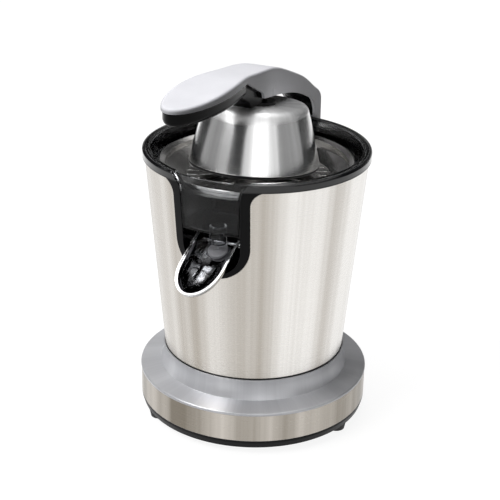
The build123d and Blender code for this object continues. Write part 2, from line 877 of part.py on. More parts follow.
export_step(juice_collector.part, "parts/juice_collector.step")

# Strainer: pressed steel dish that hangs by its lip on the collector's ledge, with radial slots
strainer_lip_z = ledge_z + strainer_lip_height
strainer_floor_z = strainer_lip_z - strainer_depth
strainer_wall_radius = strainer_radius - strainer_lip_width
strainer_collar_radius = chimney_radius + collector_wall + part_clearance
with BuildPart() as strainer:
    revolve(section([
        (strainer_collar_radius, strainer_floor_z - strainer_wall),
        (strainer_floor_radius, strainer_floor_z - strainer_wall),
        (strainer_wall_radius, ledge_z - strainer_wall_drop),
        (strainer_wall_radius, ledge_z),
        (strainer_radius, ledge_z),
        (strainer_radius, strainer_lip_z),
        (strainer_radius - strainer_wall, strainer_lip_z),
        (strainer_wall_radius - strainer_wall, ledge_z + strainer_wall / 2),
        (strainer_wall_radius - strainer_wall, ledge_z - strainer_wall_drop + strainer_wall / 2),
        (strainer_floor_radius - strainer_wall, strainer_floor_z),
        (strainer_collar_radius + strainer_collar_wall, strainer_floor_z),
        (strainer_collar_radius + strainer_collar_wall, strainer_floor_z + strainer_collar_height),
        (strainer_collar_radius, strainer_floor_z + strainer_collar_height),
    ]), axis=Axis.Z)
    with BuildSketch(Plane.XY.offset(strainer_floor_z - strainer_depth)):
        with PolarLocations(strainer_slot_radius, strainer_slots):
            SlotOverall(strainer_slot_length, strainer_slot_width)
        with PolarLocations(strainer_inner_slot_radius, strainer_inner_slots):
            SlotOverall(strainer_inner_slot_length, strainer_slot_width)
    extrude(amount=2 * strainer_depth, mode=Mode.SUBTRACT)
strainer.part.label = "strainer"
export_step(strainer.part, "parts/strainer.step")

# Upper bush: flanged bronze bush in the bearing tower
with BuildPart() as upper_bush:
    with Locations((0, 0, tower_z)):
        Cylinder(bush_radius, bush_length, align=hanging)
        Cylinder(shaft_radius + running_clearance, bush_length, align=hanging,
                 mode=Mode.SUBTRACT)
upper_bush.part.label = "upper_bush"
export_step(upper_bush.part, "parts/upper_bush.step")

# Shaft seal: rubber lip seal on top of the tower
with BuildPart() as shaft_seal:
    with Locations((0, 0, tower_z)):
        Cylinder(tower_radius, seal_height, align=standing)
        Cylinder(shaft_radius + part_clearance, seal_height, align=standing,
                 mode=Mode.SUBTRACT)
    seal_rim = shaft_seal.edges().filter_by(GeomType.CIRCLE).group_by(Axis.Z)[-1].sort_by(SortBy.RADIUS)[-1]
    fillet(seal_rim, seal_round)
shaft_seal.part.label = "shaft_seal"
export_step(shaft_seal.part, "parts/shaft_seal.step")

# Drive shaft: steel spindle with a flat at the top that turns the cone
reamer_z = strainer_floor_z + strainer_collar_height + press_travel + moving_gap + reamer_lift
reamer_tip_z = reamer_z + reamer_plate + reamer_height
shaft_top_z = reamer_tip_z - shaft_top_drop
lower_bush_z = gearbox_z - lower_bush_length + gearbox_floor
shaft_bottom_z = lower_bush_z - press_travel - moving_gap
with BuildPart() as drive_shaft:
    with Locations((0, 0, shaft_bottom_z)):
        Cylinder(shaft_radius, shaft_top_z - shaft_bottom_z, align=standing)
    with Locations((shaft_flat, 0, shaft_top_z)):
        Box(shaft_radius, 2 * shaft_radius, shaft_flat_length,
            align=(Align.MIN, Align.CENTER, Align.MAX), mode=Mode.SUBTRACT)
drive_shaft.part.label = "drive_shaft"
export_step(drive_shaft.part, "parts/drive_shaft.step")

# Reamer: ribbed cone on a round plate, with a skirt over the strainer's collar
skirt_radius = strainer_collar_radius + strainer_collar_wall + moving_gap


def reamer_face(share):
    """Half outline of the cone, with its radius scaled by a share."""
    foot = reamer_z + reamer_plate
    with BuildSketch(Plane.XZ, mode=Mode.PRIVATE) as face:
        with BuildLine():
            Line((0, foot), (reamer_radius * share, foot))
            waist = (reamer_radius * share * reamer_waist, foot + reamer_height * reamer_waist_height)
            Spline((reamer_radius * share, foot), waist, (0, reamer_tip_z),
                   tangents=((0, 1), (-1, reamer_tip_slope)))
            Line((0, reamer_tip_z), (0, foot))
        make_face()
    return face.sketch


with BuildPart() as reamer_rib:
    extrude(reamer_face(1 - rib_inset / reamer_radius), amount=rib_width / 2, both=True)
with BuildPart() as reamer:
    revolve(section([
        (0, reamer_z),
        (reamer_radius, reamer_z),
        (reamer_radius, reamer_z + reamer_plate),
        (0, reamer_z + reamer_plate),
    ]), axis=Axis.Z)
    fillet(reamer.edges().filter_by(GeomType.CIRCLE), reamer_plate_round)
    revolve(reamer_face(reamer_core), axis=Axis.Z)
    with PolarLocations(0, reamer_ribs):
        add(reamer_rib.part)
    revolve(section([
        (skirt_radius, reamer_z - reamer_skirt_height),
        (skirt_radius + reamer_skirt_wall, reamer_z - reamer_skirt_height),
        (skirt_radius + reamer_skirt_wall, reamer_z + reamer_plate / 2),
        (skirt_radius, reamer_z + reamer_plate / 2),
    ]), axis=Axis.Z)
    with BuildSketch(Plane.XY.offset(reamer_z)):
        Circle(shaft_radius + seat_clearance / 2)
        with Locations((shaft_flat + seat_clearance / 2, 0)):
            Rectangle(shaft_radius, 2 * shaft_radius, align=(Align.MIN, Align.CENTER), mode=Mode.SUBTRACT)
    extrude(amount=shaft_top_z - reamer_z + seat_clearance, mode=Mode.SUBTRACT)
reamer.part.label = "reamer"
export_step(reamer.part, "parts/reamer.step")


def gear_face(teeth, module, turn):
    """Spur gear outline with stub involute teeth, one tooth centred on the turn angle in degrees."""
    pitch = teeth * module / 2
    base = pitch * cos(gear_pressure_angle)
    tip = pitch + gear_addendum * module
    root = pitch - gear_dedendum * module
    involute_pitch = tan(gear_pressure_angle) - gear_pressure_angle
    half_pitch = pi / (2 * teeth) - gear_backlash / (4 * pitch)

    def half_angle(radius):
        roll = acos(min(base / radius, 1.0))
        return half_pitch + involute_pitch - (tan(roll) - roll)

    start = max(base, root)
    radii = [root] + [start + (tip - start) * (step + 1) / flank_steps for step in range(flank_steps)]
    outline = []
    for tooth in range(teeth):
        middle = radians(turn) + 2 * pi * tooth / teeth
        rising = [(radius, middle - half_angle(radius)) for radius in radii]
        falling = [(radius, middle + half_angle(radius)) for radius in reversed(radii)]
        outline += [(radius * cos(angle), radius * sin(angle)) for radius, angle in rising + falling]
    with BuildSketch(mode=Mode.PRIVATE) as face:
        Polygon(*outline, align=None)
    return face.sketch


# Output gear: moulded gear fixed on the drive shaft
output_gear_z = gear_floor_z + gear_floor_gap + compound_big_face + press_travel + gear_step_gap
with BuildPart() as output_gear:
    extrude(gear_face(output_teeth, output_module, compound_direction).moved(Location((0, 0, output_gear_z))),
            amount=output_face)
    with Locations((0, 0, output_gear_z)):
        Cylinder(shaft_radius, output_face, align=standing, mode=Mode.SUBTRACT)
output_gear.part.label = "output_gear"
export_step(output_gear.part, "parts/output_gear.step")

# Compound gear: large gear driven by the motor, with the small gear that turns the output gear
big_gear_z = gear_floor_z + gear_floor_gap
small_gear_z = big_gear_z + compound_big_face
small_gear_face = output_gear_z + output_face + moving_gap - small_gear_z
small_turn = compound_direction + 180 + 180 / compound_small_teeth
with BuildPart() as compound_gear:
    extrude(gear_face(compound_big_teeth, motor_module, motor_direction)
            .moved(Location((compound_x, compound_y, big_gear_z))), amount=compound_big_face)
    extrude(gear_face(compound_small_teeth, output_module, small_turn)
            .moved(Location((compound_x, compound_y, small_gear_z))), amount=small_gear_face)
    with Locations((compound_x, compound_y, big_gear_z)):
        Cylinder(axle_radius + running_clearance, compound_big_face + small_gear_face,
                 align=standing, mode=Mode.SUBTRACT)
compound_gear.part.label = "compound_gear"
export_step(compound_gear.part, "parts/compound_gear.step")

# Gear axle: steel pin between the gearbox floor and the deck, with a shoulder under the gear
with BuildPart() as gear_axle:
    with Locations((compound_x, compound_y, gear_floor_z)):
        Cylinder(axle_radius, deck_z + deck_wall / 2 - gear_floor_z,
                 align=standing)
        Cylinder(hub_radius, big_gear_z - gear_floor_z - moving_gap / 2,
                 align=standing)
gear_axle.part.label = "gear_axle"
export_step(gear_axle.part, "parts/gear_axle.step")

# Pinion: steel gear on the motor's shaft
pinion_z = gear_floor_z + moving_gap
with BuildPart() as pinion:
    extrude(gear_face(pinion_teeth, motor_module, motor_direction + 180 + 180 / pinion_teeth)
            .moved(Location((motor_x, motor_y, pinion_z))), amount=compound_big_face + moving_gap)
    with Locations((motor_x, motor_y, pinion_z)):
        Cylinder(motor_shaft_radius, compound_big_face + moving_gap,
                 align=standing, mode=Mode.SUBTRACT)
pinion.part.label = "pinion"
export_step(pinion.part, "parts/pinion.step")

# Gearbox housing: tub screwed under the deck, with the tube for the thrust pad below it
thrust_z = shaft_bottom_z - thrust_height
tube_radius = thrust_radius + thrust_tube_wall
tube_floor_z = thrust_z - spring_length
tube_bottom_z = tube_floor_z - thrust_tube_wall
switch_pad_x = tube_radius + switch_pad_proud
arm_slot_height = switch_arm_height + press_travel + 2 * moving_gap


def gearbox_plan(grow):
    """Plan of the gearbox: a hull round the gears and the motor's bay."""
    with BuildSketch(mode=Mode.PRIVATE) as plan:
        Circle(output_reach + grow)
        with Locations((compound_x, compound_y)):
            Circle(compound_reach + grow)
        with Locations((motor_x, motor_y)):
            Circle(motor_bay + grow)
        make_hull()
    return plan.sketch


with BuildPart() as gearbox_housing:
    extrude(gearbox_plan(gearbox_wall).moved(Location((0, 0, gearbox_z))), amount=gearbox_height)
    with Locations(*[(x, y, deck_z) for x, y in lug_places]):
        Cylinder(lug_radius, lug_height, align=hanging)
    extrude(gearbox_plan(0).moved(Location((0, 0, gear_floor_z))), amount=gearbox_height, mode=Mode.SUBTRACT)
    with Locations(*[(x, y, deck_z) for x, y in lug_places]):
        Cylinder(screw_radius + seat_clearance, cut_through * lug_height, mode=Mode.SUBTRACT)
    with Locations((0, 0, tube_bottom_z)):
        Cylinder(tube_radius, gear_floor_z - tube_bottom_z, align=standing)
    with Locations((0, 0, tube_bottom_z)):
        Box(switch_pad_x, 2 * switch_arm_width, switch_height,
            align=(Align.MIN, Align.CENTER, Align.MIN))
    with Locations((0, 0, tube_floor_z)):
        Cylinder(thrust_radius + running_clearance, gear_floor_z - tube_floor_z,
                 align=standing, mode=Mode.SUBTRACT)
    with Locations((0, 0, thrust_z - press_travel - moving_gap)):
        Box(2 * tube_radius, switch_arm_width + 2 * moving_gap, arm_slot_height,
            align=(Align.MIN, Align.CENTER, Align.MIN), mode=Mode.SUBTRACT)
    with Locations((0, 0, lower_bush_z)):
        Cylinder(shaft_radius + lower_bush_wall, lower_bush_length,
                 align=standing, mode=Mode.SUBTRACT)
    with Locations((motor_x, motor_y, gearbox_z)):
        Cylinder(motor_boss_radius, cut_through * gearbox_floor, mode=Mode.SUBTRACT)
    with Locations(*[(x, y, gearbox_z) for x, y in motor_screw_places]):
        Cylinder(screw_radius + seat_clearance, cut_through * gearbox_floor, mode=Mode.SUBTRACT)
gearbox_housing.part.label = "gearbox_housing"
export_step(gearbox_housing.part, "parts/gearbox_housing.step")

# Gearbox screws: through the lugs into the deck's bosses
with BuildPart() as gearbox_screws:
    with Locations(*[(x, y, deck_z - lug_height) for x, y in lug_places]):
        Cylinder(screw_head_radius, screw_head_height, align=hanging)
        Cylinder(screw_radius, lug_height + deck_wall, align=standing)
gearbox_screws.part.label = "gearbox_screws"
export_step(gearbox_screws.part, "parts/gearbox_screws.step")

# Lower bush: bronze bush in the gearbox floor
with BuildPart() as lower_bush:
    with Locations((0, 0, lower_bush_z)):
        Cylinder(shaft_radius + lower_bush_wall, lower_bush_length,
                 align=standing)
        Cylinder(shaft_radius + running_clearance, lower_bush_length,
                 align=standing, mode=Mode.SUBTRACT)
lower_bush.part.label = "lower_bush"
export_step(lower_bush.part, "parts/lower_bush.step")

# Thrust pad: the shaft stands on it, and its arm works the start switch
with BuildPart() as thrust_pad:
    with Locations((0, 0, thrust_z)):
        Cylinder(thrust_radius, thrust_height, align=standing)
        Box(switch_arm_reach, switch_arm_width, switch_arm_height, align=(Align.MIN, Align.CENTER, Align.MIN))
thrust_pad.part.label = "thrust_pad"
export_step(thrust_pad.part, "parts/thrust_pad.step")

# Start switch: box switch on the tube's flat, with its plunger under the arm
plunger_x = switch_pad_x + switch_length / 2
with BuildPart() as start_switch:
    with Locations((switch_pad_x, 0, tube_bottom_z)):
        Box(switch_length, switch_width, switch_height, align=(Align.MIN, Align.CENTER, Align.MIN))
    with Locations((plunger_x, 0, tube_bottom_z + switch_height)):
        Cylinder(plunger_radius + running_clearance, switch_height - thrust_tube_wall / 2,
                 align=hanging, mode=Mode.SUBTRACT)
start_switch.part.label = "start_switch"
export_step(start_switch.part, "parts/start_switch.step")

with BuildPart() as switch_plunger:
    with Locations((plunger_x, 0, thrust_z)):
        Cylinder(plunger_radius, plunger_length, align=hanging)
switch_plunger.part.label = "switch_plunger"
export_step(switch_plunger.part, "parts/switch_plunger.step")


def coil_point(angle):
    """Point on the spring's centre line and its direction there, by the angle turned."""
    rise = (spring_length - 2 * spring_wire - 2 * seat_clearance) / (2 * pi * spring_turns)
    foot = tube_floor_z + spring_wire + seat_clearance
    point = Vector(spring_radius * cos(angle), spring_radius * sin(angle), foot + rise * angle)
    heading = Vector(-spring_radius * sin(angle), spring_radius * cos(angle), rise).normalized()
    return point, heading


# Return spring: wound wire under the thrust pad, each quarter turn drawn as two tangent arcs
with BuildPart() as return_spring:
    with BuildLine() as coil:
        for quarter in range(4 * spring_turns):
            start, start_heading = coil_point(pi / 2 * quarter)
            end, end_heading = coil_point(pi / 2 * (quarter + 1))
            chord = end - start
            both_ways = chord.dot(start_heading + end_heading)
            spread = 2 * (1 - start_heading.dot(end_heading))
            reach = (sqrt(both_ways ** 2 + spread * chord.dot(chord)) - both_ways) / spread
            first = start + start_heading * reach
            second = end - end_heading * reach
            middle = (first + second) / 2
            TangentArc(start, middle, tangent=start_heading)
            TangentArc(middle, end, tangent=second - first)
    coil_start, coil_heading = coil_point(0)
    with BuildSketch(Plane(origin=coil_start, z_dir=coil_heading)):
        Circle(spring_wire)
    sweep(path=coil.line)
return_spring.part.label = "return_spring"
export_step(return_spring.part, "parts/return_spring.step")
coil_gap = (coil_point(2 * pi)[0] - coil_point(0)[0]).length - 2 * spring_wire
print("return spring: least gap between turns", round(coil_gap, 2), "mm")

# Motor can: drawn steel can, closed at the top, screwed under the gearbox
motor_top_z = gearbox_z
motor_bottom_z = motor_top_z - motor_length
with BuildPart() as motor_can:
    with Locations((motor_x, motor_y, motor_bottom_z)):
        Cylinder(motor_radius, motor_length, align=standing)
        Cylinder(motor_radius - motor_wall, motor_length - motor_top_plate,
                 align=standing, mode=Mode.SUBTRACT)
        Cylinder(motor_shaft_radius + running_clearance, motor_length,
                 align=standing, mode=Mode.SUBTRACT)
    with Locations(*[(x, y, motor_top_z) for x, y in motor_screw_places]):
        Cylinder(screw_radius, cut_through * motor_top_plate, mode=Mode.SUBTRACT)
motor_can.part.label = "motor_can"
export_step(motor_can.part, "parts/motor_can.step")

# Motor screws: from inside the gearbox into the can's top
with BuildPart() as motor_screws:
    with Locations(*[(x, y, gear_floor_z) for x, y in motor_screw_places]):
        Cylinder(screw_head_radius, screw_head_height, align=standing)
        Cylinder(screw_radius, gearbox_floor + motor_top_plate,
                 align=hanging)
motor_screws.part.label = "motor_screws"
export_step(motor_screws.part, "parts/motor_screws.step")

# Motor magnets: two arcs inside the can
rotor_z = motor_top_z - motor_top_plate - rotor_gap - rotor_length
magnet_outer = motor_radius - motor_wall
magnet_gap = magnet_outer * cos(radians(magnet_half_angle))
with BuildPart() as motor_magnets:
    with BuildSketch(Plane.XY.offset(rotor_z)):
        with Locations((motor_x, motor_y)):
            Circle(magnet_outer)
            Circle(magnet_outer - magnet_wall, mode=Mode.SUBTRACT)
            Rectangle(2 * magnet_outer, 2 * magnet_gap, mode=Mode.SUBTRACT)
    extrude(amount=rotor_length)
motor_magnets.part.label = "motor_magnets"
export_step(motor_magnets.part, "parts/motor_magnets.step")

# Motor cap: black end cap with the lower bearing
with BuildPart() as motor_cap:
    with Locations((motor_x, motor_y, motor_bottom_z)):
        Cylinder(motor_radius, motor_cap_height, align=hanging)
        Cylinder(motor_shaft_radius + running_clearance, motor_cap_height - motor_wall,
                 align=hanging, mode=Mode.SUBTRACT)
    cap_edge = motor_cap.edges().filter_by(GeomType.CIRCLE).group_by(Axis.Z)[0].sort_by(SortBy.RADIUS)[-1]
    fillet(cap_edge, motor_wall)
motor_cap.part.label = "motor_cap"
export_step(motor_cap.part, "parts/motor_cap.step")

# Armature: slotted rotor and commutator on the motor's shaft
shaft_foot_z = motor_bottom_z - motor_cap_height + 2 * motor_wall
with BuildPart() as armature:
    with Locations((motor_x, motor_y, shaft_foot_z)):
        Cylinder(motor_shaft_radius, pinion_z + compound_big_face + moving_gap - shaft_foot_z,
                 align=standing)
    with Locations((motor_x, motor_y, rotor_z)):
        Cylinder(rotor_radius, rotor_length, align=standing)
        Cylinder(commutator_radius, commutator_length, align=hanging)
        with PolarLocations(rotor_radius, rotor_slots):
            Box(2 * rotor_slot_depth, rotor_slot_width, rotor_length,
                align=standing, mode=Mode.SUBTRACT)
armature.part.label = "armature"
export_step(armature.part, "parts/armature.step")

# Tie rods: threaded rods that draw the rim down on the shell, with nuts under the base cover
rod_foot_z = collar_z - cover_wall - tie_nut_height - tie_rod_tail
with BuildPart() as tie_rods:
    with Locations(*[(*around(tie_rod_circle, angle), rod_foot_z) for angle in tie_rod_angles]):
        Cylinder(tie_rod_radius, deck_z - rod_foot_z, align=standing)
tie_rods.part.label = "tie_rods"
export_step(tie_rods.part, "parts/tie_rods.step")

with BuildPart() as tie_nuts:
    with BuildSketch(Plane.XY.offset(collar_z - cover_wall)):
        with Locations(*[around(tie_rod_circle, angle) for angle in tie_rod_angles]):
            RegularPolygon(tie_nut_radius, 6)
            Circle(tie_rod_radius, mode=Mode.SUBTRACT)
    extrude(amount=-tie_nut_height)
tie_nuts.part.label = "tie_nuts"
export_step(tie_nuts.part, "parts/tie_nuts.step")

# Hinge bracket: black block on the rear of the body with two ears for the lever's pin
bracket_half = arm_half_width + moving_gap + ear_width
web_z = hinge_z - bracket_web_drop
bracket_z = web_z - bracket_height
with BuildPart() as hinge_bracket:
    with BuildSketch(Plane.XY.offset(bracket_z)):
        Rectangle(2 * bracket_half, bracket_back_y, align=(Align.CENTER, Align.MIN))
    extrude(amount=bracket_height)
    rear_edges = hinge_bracket.edges().filter_by(Axis.Z).group_by(Axis.Y)[-1]
    fillet(rear_edges, bracket_round)
    for side in (-1, 1):
        with BuildSketch(Plane.YZ.offset(side * (bracket_half - ear_width / 2))):
            with Locations((hinge_y, hinge_z)):
                Circle(ear_radius)
            with Locations((hinge_y + ear_radius, hinge_z)):
                Rectangle(bracket_back_y, hinge_z - web_z, align=(Align.MAX, Align.MAX))
        extrude(amount=ear_width / 2, both=True)
    revolve(section([
        (0, bracket_z),
        (shell_radius(bracket_z) + seat_clearance, bracket_z),
        (shell_radius(rim_z) + seat_clearance, rim_z),
        (rim_radius + seat_clearance, rim_z),
        (rim_radius + seat_clearance, top_z),
        (0, top_z),
    ]), axis=Axis.Z, mode=Mode.SUBTRACT)
    with BuildSketch(Plane.YZ):
        with Locations((hinge_y, hinge_z)):
            Circle(hinge_pin_radius)
    extrude(amount=2 * bracket_half, both=True, mode=Mode.SUBTRACT)
    rear_plane = Plane(origin=(0, bracket_back_y, 0), x_dir=(-1, 0, 0), z_dir=(0, 1, 0))
    with BuildSketch(rear_plane):
        with Locations(*[(-x, z) for x, z in bracket_screw_places]):
            Circle(screw_radius + seat_clearance)
    extrude(amount=-bracket_back_y, mode=Mode.SUBTRACT)
    with BuildSketch(rear_plane):
        with Locations(*[(-x, z) for x, z in bracket_screw_places]):
            Circle(screw_head_radius + seat_clearance)
    extrude(amount=-2 * screw_head_height, mode=Mode.SUBTRACT)
hinge_bracket.part.label = "hinge_bracket"
export_step(hinge_bracket.part, "parts/hinge_bracket.step")

# Bracket screws: from behind, through bracket and shell into the pad under the deck
with BuildPart() as bracket_screws:
    with BuildSketch(rear_plane.offset(-2 * screw_head_height)):
        with Locations(*[(-x, z) for x, z in bracket_screw_places]):
            Circle(screw_radius)
    extrude(amount=-bracket_back_y + 2 * screw_head_height + shell_radius(deck_z) - hinge_pad_depth)
    with BuildSketch(rear_plane.offset(-2 * screw_head_height)):
        with Locations(*[(-x, z) for x, z in bracket_screw_places]):
            Circle(screw_head_radius)
    extrude(amount=screw_head_height)
bracket_screws.part.label = "bracket_screws"
export_step(bracket_screws.part, "parts/bracket_screws.step")

# Hinge pin: steel pin through both ears, with a head at each end
with BuildPart() as hinge_pin:
    with BuildSketch(Plane.YZ):
        with Locations((hinge_y, hinge_z)):
            Circle(hinge_pin_radius)
    extrude(amount=bracket_half, both=True)
    for side in (-1, 1):
        with BuildSketch(Plane.YZ.offset(side * bracket_half)):
            with Locations((hinge_y, hinge_z)):
                Circle(hinge_pin_radius + screw_radius)
        extrude(amount=side * screw_radius)
hinge_pin.part.label = "hinge_pin"
export_step(hinge_pin.part, "parts/hinge_pin.step")

# Lever curves in the side view: upper edge from the hinge to the handle, lower edge back to the hinge
handle_z = top_z + handle_rise
skirt_z = handle_z - skirt_height
pan_z = skirt_z - cover_depth
root_z = top_z + root_lift
crest_z = top_z + neck_foot_rise
upper_curve = [(hinge_y + back, top_z + up) for back, up in lever_upper]
upper_curve += [(-forward, handle_z - drop) for forward, drop in lever_crest]
lower_curve = [(hinge_y + back, top_z + up) for back, up in lever_lower]


def lever_plan(inset):
    """Plan of the lever: parallel arm, neck and oval handle, inset from its edge."""
    side = [(arm_half_width - inset, arm_straight_y)]
    side += [(half - inset, -forward) for forward, half in lever_widths]
    side.append((handle_half_width - inset, -handle_middle))
    oval_length = handle_tip - handle_middle - inset
    with BuildSketch(mode=Mode.PRIVATE) as plan:
        with BuildLine():
            Polyline((0, bracket_back_y), (arm_half_width - inset, bracket_back_y), side[0])
            Spline(*side, tangents=((0, -1), (0, -1)))
            EllipticalCenterArc(
                (0, -handle_middle), handle_half_width - inset, oval_length, start_angle=270, arc_size=90
            )
            mirror(about=Plane.YZ)
        make_face()
    return plan.sketch


def channel(gap):
    """Hollow under the lever's skin, made smaller by a gap."""
    roof = inset_curve(upper_curve[1:], lever_wall + gap)
    with BuildPart(mode=Mode.PRIVATE) as room:
        with BuildSketch(Plane.YZ):
            with BuildLine():
                Spline(*roof)
                Polyline(
                    roof[-1],
                    (roof[-1][0], root_z + gap),
                    (roof[0][0], root_z + gap),
                    roof[0],
                )
            make_face()
        extrude(amount=2 * handle_half_width, both=True)
        extrude(lever_plan(arm_side_wall + gap), amount=above_all, mode=Mode.INTERSECT)
    return room.part


# Outer form of the lever: side view and plan crossed, with the upper edges rounded
with BuildPart() as lever_form:
    with BuildSketch(Plane.YZ):
        with BuildLine():
            Spline(*upper_curve)
            Polyline(
                upper_curve[-1],
                (upper_curve[-1][0], skirt_z),
                (-neck_front, skirt_z),
                (-neck_back, top_z + neck_back_rise),
                lower_curve[0],
            )
            Spline(*lower_curve)
            Polyline(
                lower_curve[-1],
                (lower_curve[-1][0], root_z),
                (hinge_y - hinge_lobe_radius, root_z),
                (hinge_y - hinge_lobe_radius, hinge_z),
                (hinge_y + hinge_lobe_radius, hinge_z),
                upper_curve[0],
            )
        make_face()
        with Locations((hinge_y, hinge_z)):
            Circle(hinge_lobe_radius)
    extrude(amount=2 * handle_half_width, both=True)
    extrude(lever_plan(0), amount=above_all, mode=Mode.INTERSECT)
    top_faces = lever_form.faces().filter_by(
        lambda face: face.normal_at().Z > least_top_slope and face.center().Z > crest_z
    )
    top_rims = ShapeList(
        edge for face in top_faces for edge in face.edges() if abs(edge.tangent_at(0.5).X) < most_cross_slope
    )
    fillet(top_rims, lever_edge_round)

# Lever shell: silver cast skin, open below, solid at the hinge, with bosses for the cover's screws
lever_channel = channel(0)
with BuildPart() as lever_shell:
    add(lever_form.part)
    add(lever_channel, mode=Mode.SUBTRACT)
    with Locations(*[(x, y, skirt_z) for x, y in lever_screw_places]):
        Cylinder(lever_boss_radius, skirt_height - lever_wall, align=standing)
        Cylinder(screw_radius, lever_screw_depth, align=standing, mode=Mode.SUBTRACT)
    with BuildSketch(Plane.YZ):
        with Locations((hinge_y, hinge_z)):
            Circle(hinge_pin_radius + lever_bush_wall)
    extrude(amount=2 * arm_half_width, both=True, mode=Mode.SUBTRACT)
lever_shell.part.label = "lever_shell"
export_step(lever_shell.part, "parts/lever_shell.step")

# Lever bushes: nylon bushes pressed in the lever's root, flanged against the ears
with BuildPart() as lever_bushes:
    for side in (-1, 1):
        with BuildSketch(Plane.YZ.offset(side * arm_half_width)):
            with Locations((hinge_y, hinge_z)):
                Circle(hinge_pin_radius + lever_bush_wall)
                Circle(hinge_pin_radius + running_clearance, mode=Mode.SUBTRACT)
        extrude(amount=-side * lever_bush_length)
        with BuildSketch(Plane.YZ.offset(side * arm_half_width)):
            with Locations((hinge_y, hinge_z)):
                Circle(hinge_lobe_radius)
                Circle(hinge_pin_radius + running_clearance, mode=Mode.SUBTRACT)
        extrude(amount=side * lever_bush_flange)
lever_bushes.part.label = "lever_bushes"
export_step(lever_bushes.part, "parts/lever_bushes.step")

# Lever cover: black underside with the pan of the handle, the block under the neck and the arm's strip
pin_z = top_z + dome_pin_height
with BuildPart() as cover_pan:
    with BuildSketch(Plane.XY.offset(pan_z)):
        add(lever_plan(cover_inset))
        with Locations((0, -pan_back)):
            Rectangle(far_out, far_out, align=(Align.CENTER, Align.MIN), mode=Mode.SUBTRACT)
    extrude(amount=cover_depth)
    pan_edges = cover_pan.faces().sort_by(Axis.Z)[0].edges()
    fillet(pan_edges.sort_by(Axis.Y)[:-1], cover_round)
    with BuildSketch(Plane.XY.offset(pan_z + pan_wall)):
        add(lever_plan(cover_inset + pan_wall))
        with Locations((0, -pan_back - pan_wall)):
            Rectangle(far_out, far_out, align=(Align.CENTER, Align.MIN), mode=Mode.SUBTRACT)
    extrude(amount=cover_depth, mode=Mode.SUBTRACT)
channel_room = channel(seat_clearance)
with BuildPart() as channel_fill:
    add(lever_form.part)
    add(channel_room, mode=Mode.INTERSECT)
    with Locations((0, -neck_front, 0)):
        Box(far_out, far_out, 2 * above_all,
            align=(Align.CENTER, Align.MAX, Align.CENTER), mode=Mode.SUBTRACT)
with BuildPart() as lever_cover:
    add(channel_fill.part)
    add(channel_fill.part.moved(Location((0, cover_strip, cover_strip))), mode=Mode.SUBTRACT)
    add(cover_pan.part)
    with BuildSketch(Plane.YZ):
        Polygon(
            (-pan_back - pan_wall, skirt_z),
            (-pan_back - pan_wall, pan_z),
            (-neck_slope_y, top_z + neck_slope_rise),
            (-neck_foot_y, top_z + neck_foot_rise),
            (-neck_foot_back_y, top_z + neck_foot_rise),
            (-neck_foot_back_y, top_z + ear_foot_rise),
            (ear_back_y, top_z + ear_foot_rise),
            (ear_back_y, top_z + neck_top_rise),
            align=None,
        )
    extrude(amount=neck_half, both=True)
    with Locations(*[(x, y, pan_z) for x, y in lever_screw_places]):
        Cylinder(lever_boss_radius, cover_depth, align=standing)
        Cylinder(screw_radius + seat_clearance, cover_depth, align=standing,
                 mode=Mode.SUBTRACT)
        Cylinder(screw_head_radius + seat_clearance, screw_head_height + seat_clearance,
                 align=standing, mode=Mode.SUBTRACT)
    with Locations((0, 0, pin_z)):
        Box(2 * (dome_tongue_half + part_clearance), 2 * (dome_tongue_radius + dome_slot_gap),
            4 * dome_tongue_radius, mode=Mode.SUBTRACT)
    with BuildSketch(Plane.YZ):
        with Locations((0, pin_z)):
            Circle(dome_pin_radius)
    extrude(amount=2 * neck_half, both=True, mode=Mode.SUBTRACT)
lever_cover.part.label = "lever_cover"
export_step(lever_cover.part, "parts/lever_cover.step")

# Lever screws: from below, through the pan into the shell's bosses
with BuildPart() as lever_screws:
    with Locations(*[(x, y, pan_z + seat_clearance) for x, y in lever_screw_places]):
        Cylinder(screw_head_radius, screw_head_height, align=standing)
        Cylinder(screw_radius, cover_depth - seat_clearance + lever_screw_depth,
                 align=standing)
lever_screws.part.label = "lever_screws"
export_step(lever_screws.part, "parts/lever_screws.step")

# Dome pin: steel pin in the cover's ears, kept in by the sides of the arm
with BuildPart() as dome_pin:
    with BuildSketch(Plane.YZ):
        with Locations((0, pin_z)):
            Circle(dome_pin_radius)
    extrude(amount=dome_pin_half, both=True)
dome_pin.part.label = "dome_pin"
export_step(dome_pin.part, "parts/dome_pin.step")

# Dome outline: a side arc that would meet the flat top at a corner, turned over by a shoulder round
dome_z = top_z - dome_bottom_drop
crown_z = dome_z + dome_height
side_run = dome_bottom_radius - dome_corner_radius
side_chord = hypot(side_run, dome_height)
side_sag = sqrt(dome_side_radius ** 2 - side_chord ** 2 / 4) / side_chord
side_middle_x = (dome_bottom_radius + dome_corner_radius) / 2 - dome_height * side_sag
side_middle_z = (dome_z + crown_z) / 2 - side_run * side_sag


def dome_radius(z, inset):
    """Radius of the dome's side arc at a height, inset from the outer surface."""
    return side_middle_x + sqrt((dome_side_radius - inset) ** 2 - (z - side_middle_z) ** 2)


def dome_face(inset):
    """Half section of the dome, solid to the axis, inset from the outer surface."""
    roof_z = crown_z - inset
    middle_z = (dome_z + roof_z) / 2
    foot = (dome_radius(dome_z, inset), dome_z)
    corner = (dome_radius(roof_z, inset), roof_z)
    with BuildSketch(Plane.XZ, mode=Mode.PRIVATE) as face:
        with BuildLine():
            ThreePointArc(foot, (dome_radius(middle_z, inset), middle_z), corner)
            Polyline(corner, (0, roof_z), (0, dome_z), foot)
        make_face()
        shoulder = face.vertices().group_by(Axis.Y)[-1].sort_by(Axis.X)[-1]
        fillet(shoulder, max(dome_shoulder_round - inset, dome_least_round))
    return face.sketch


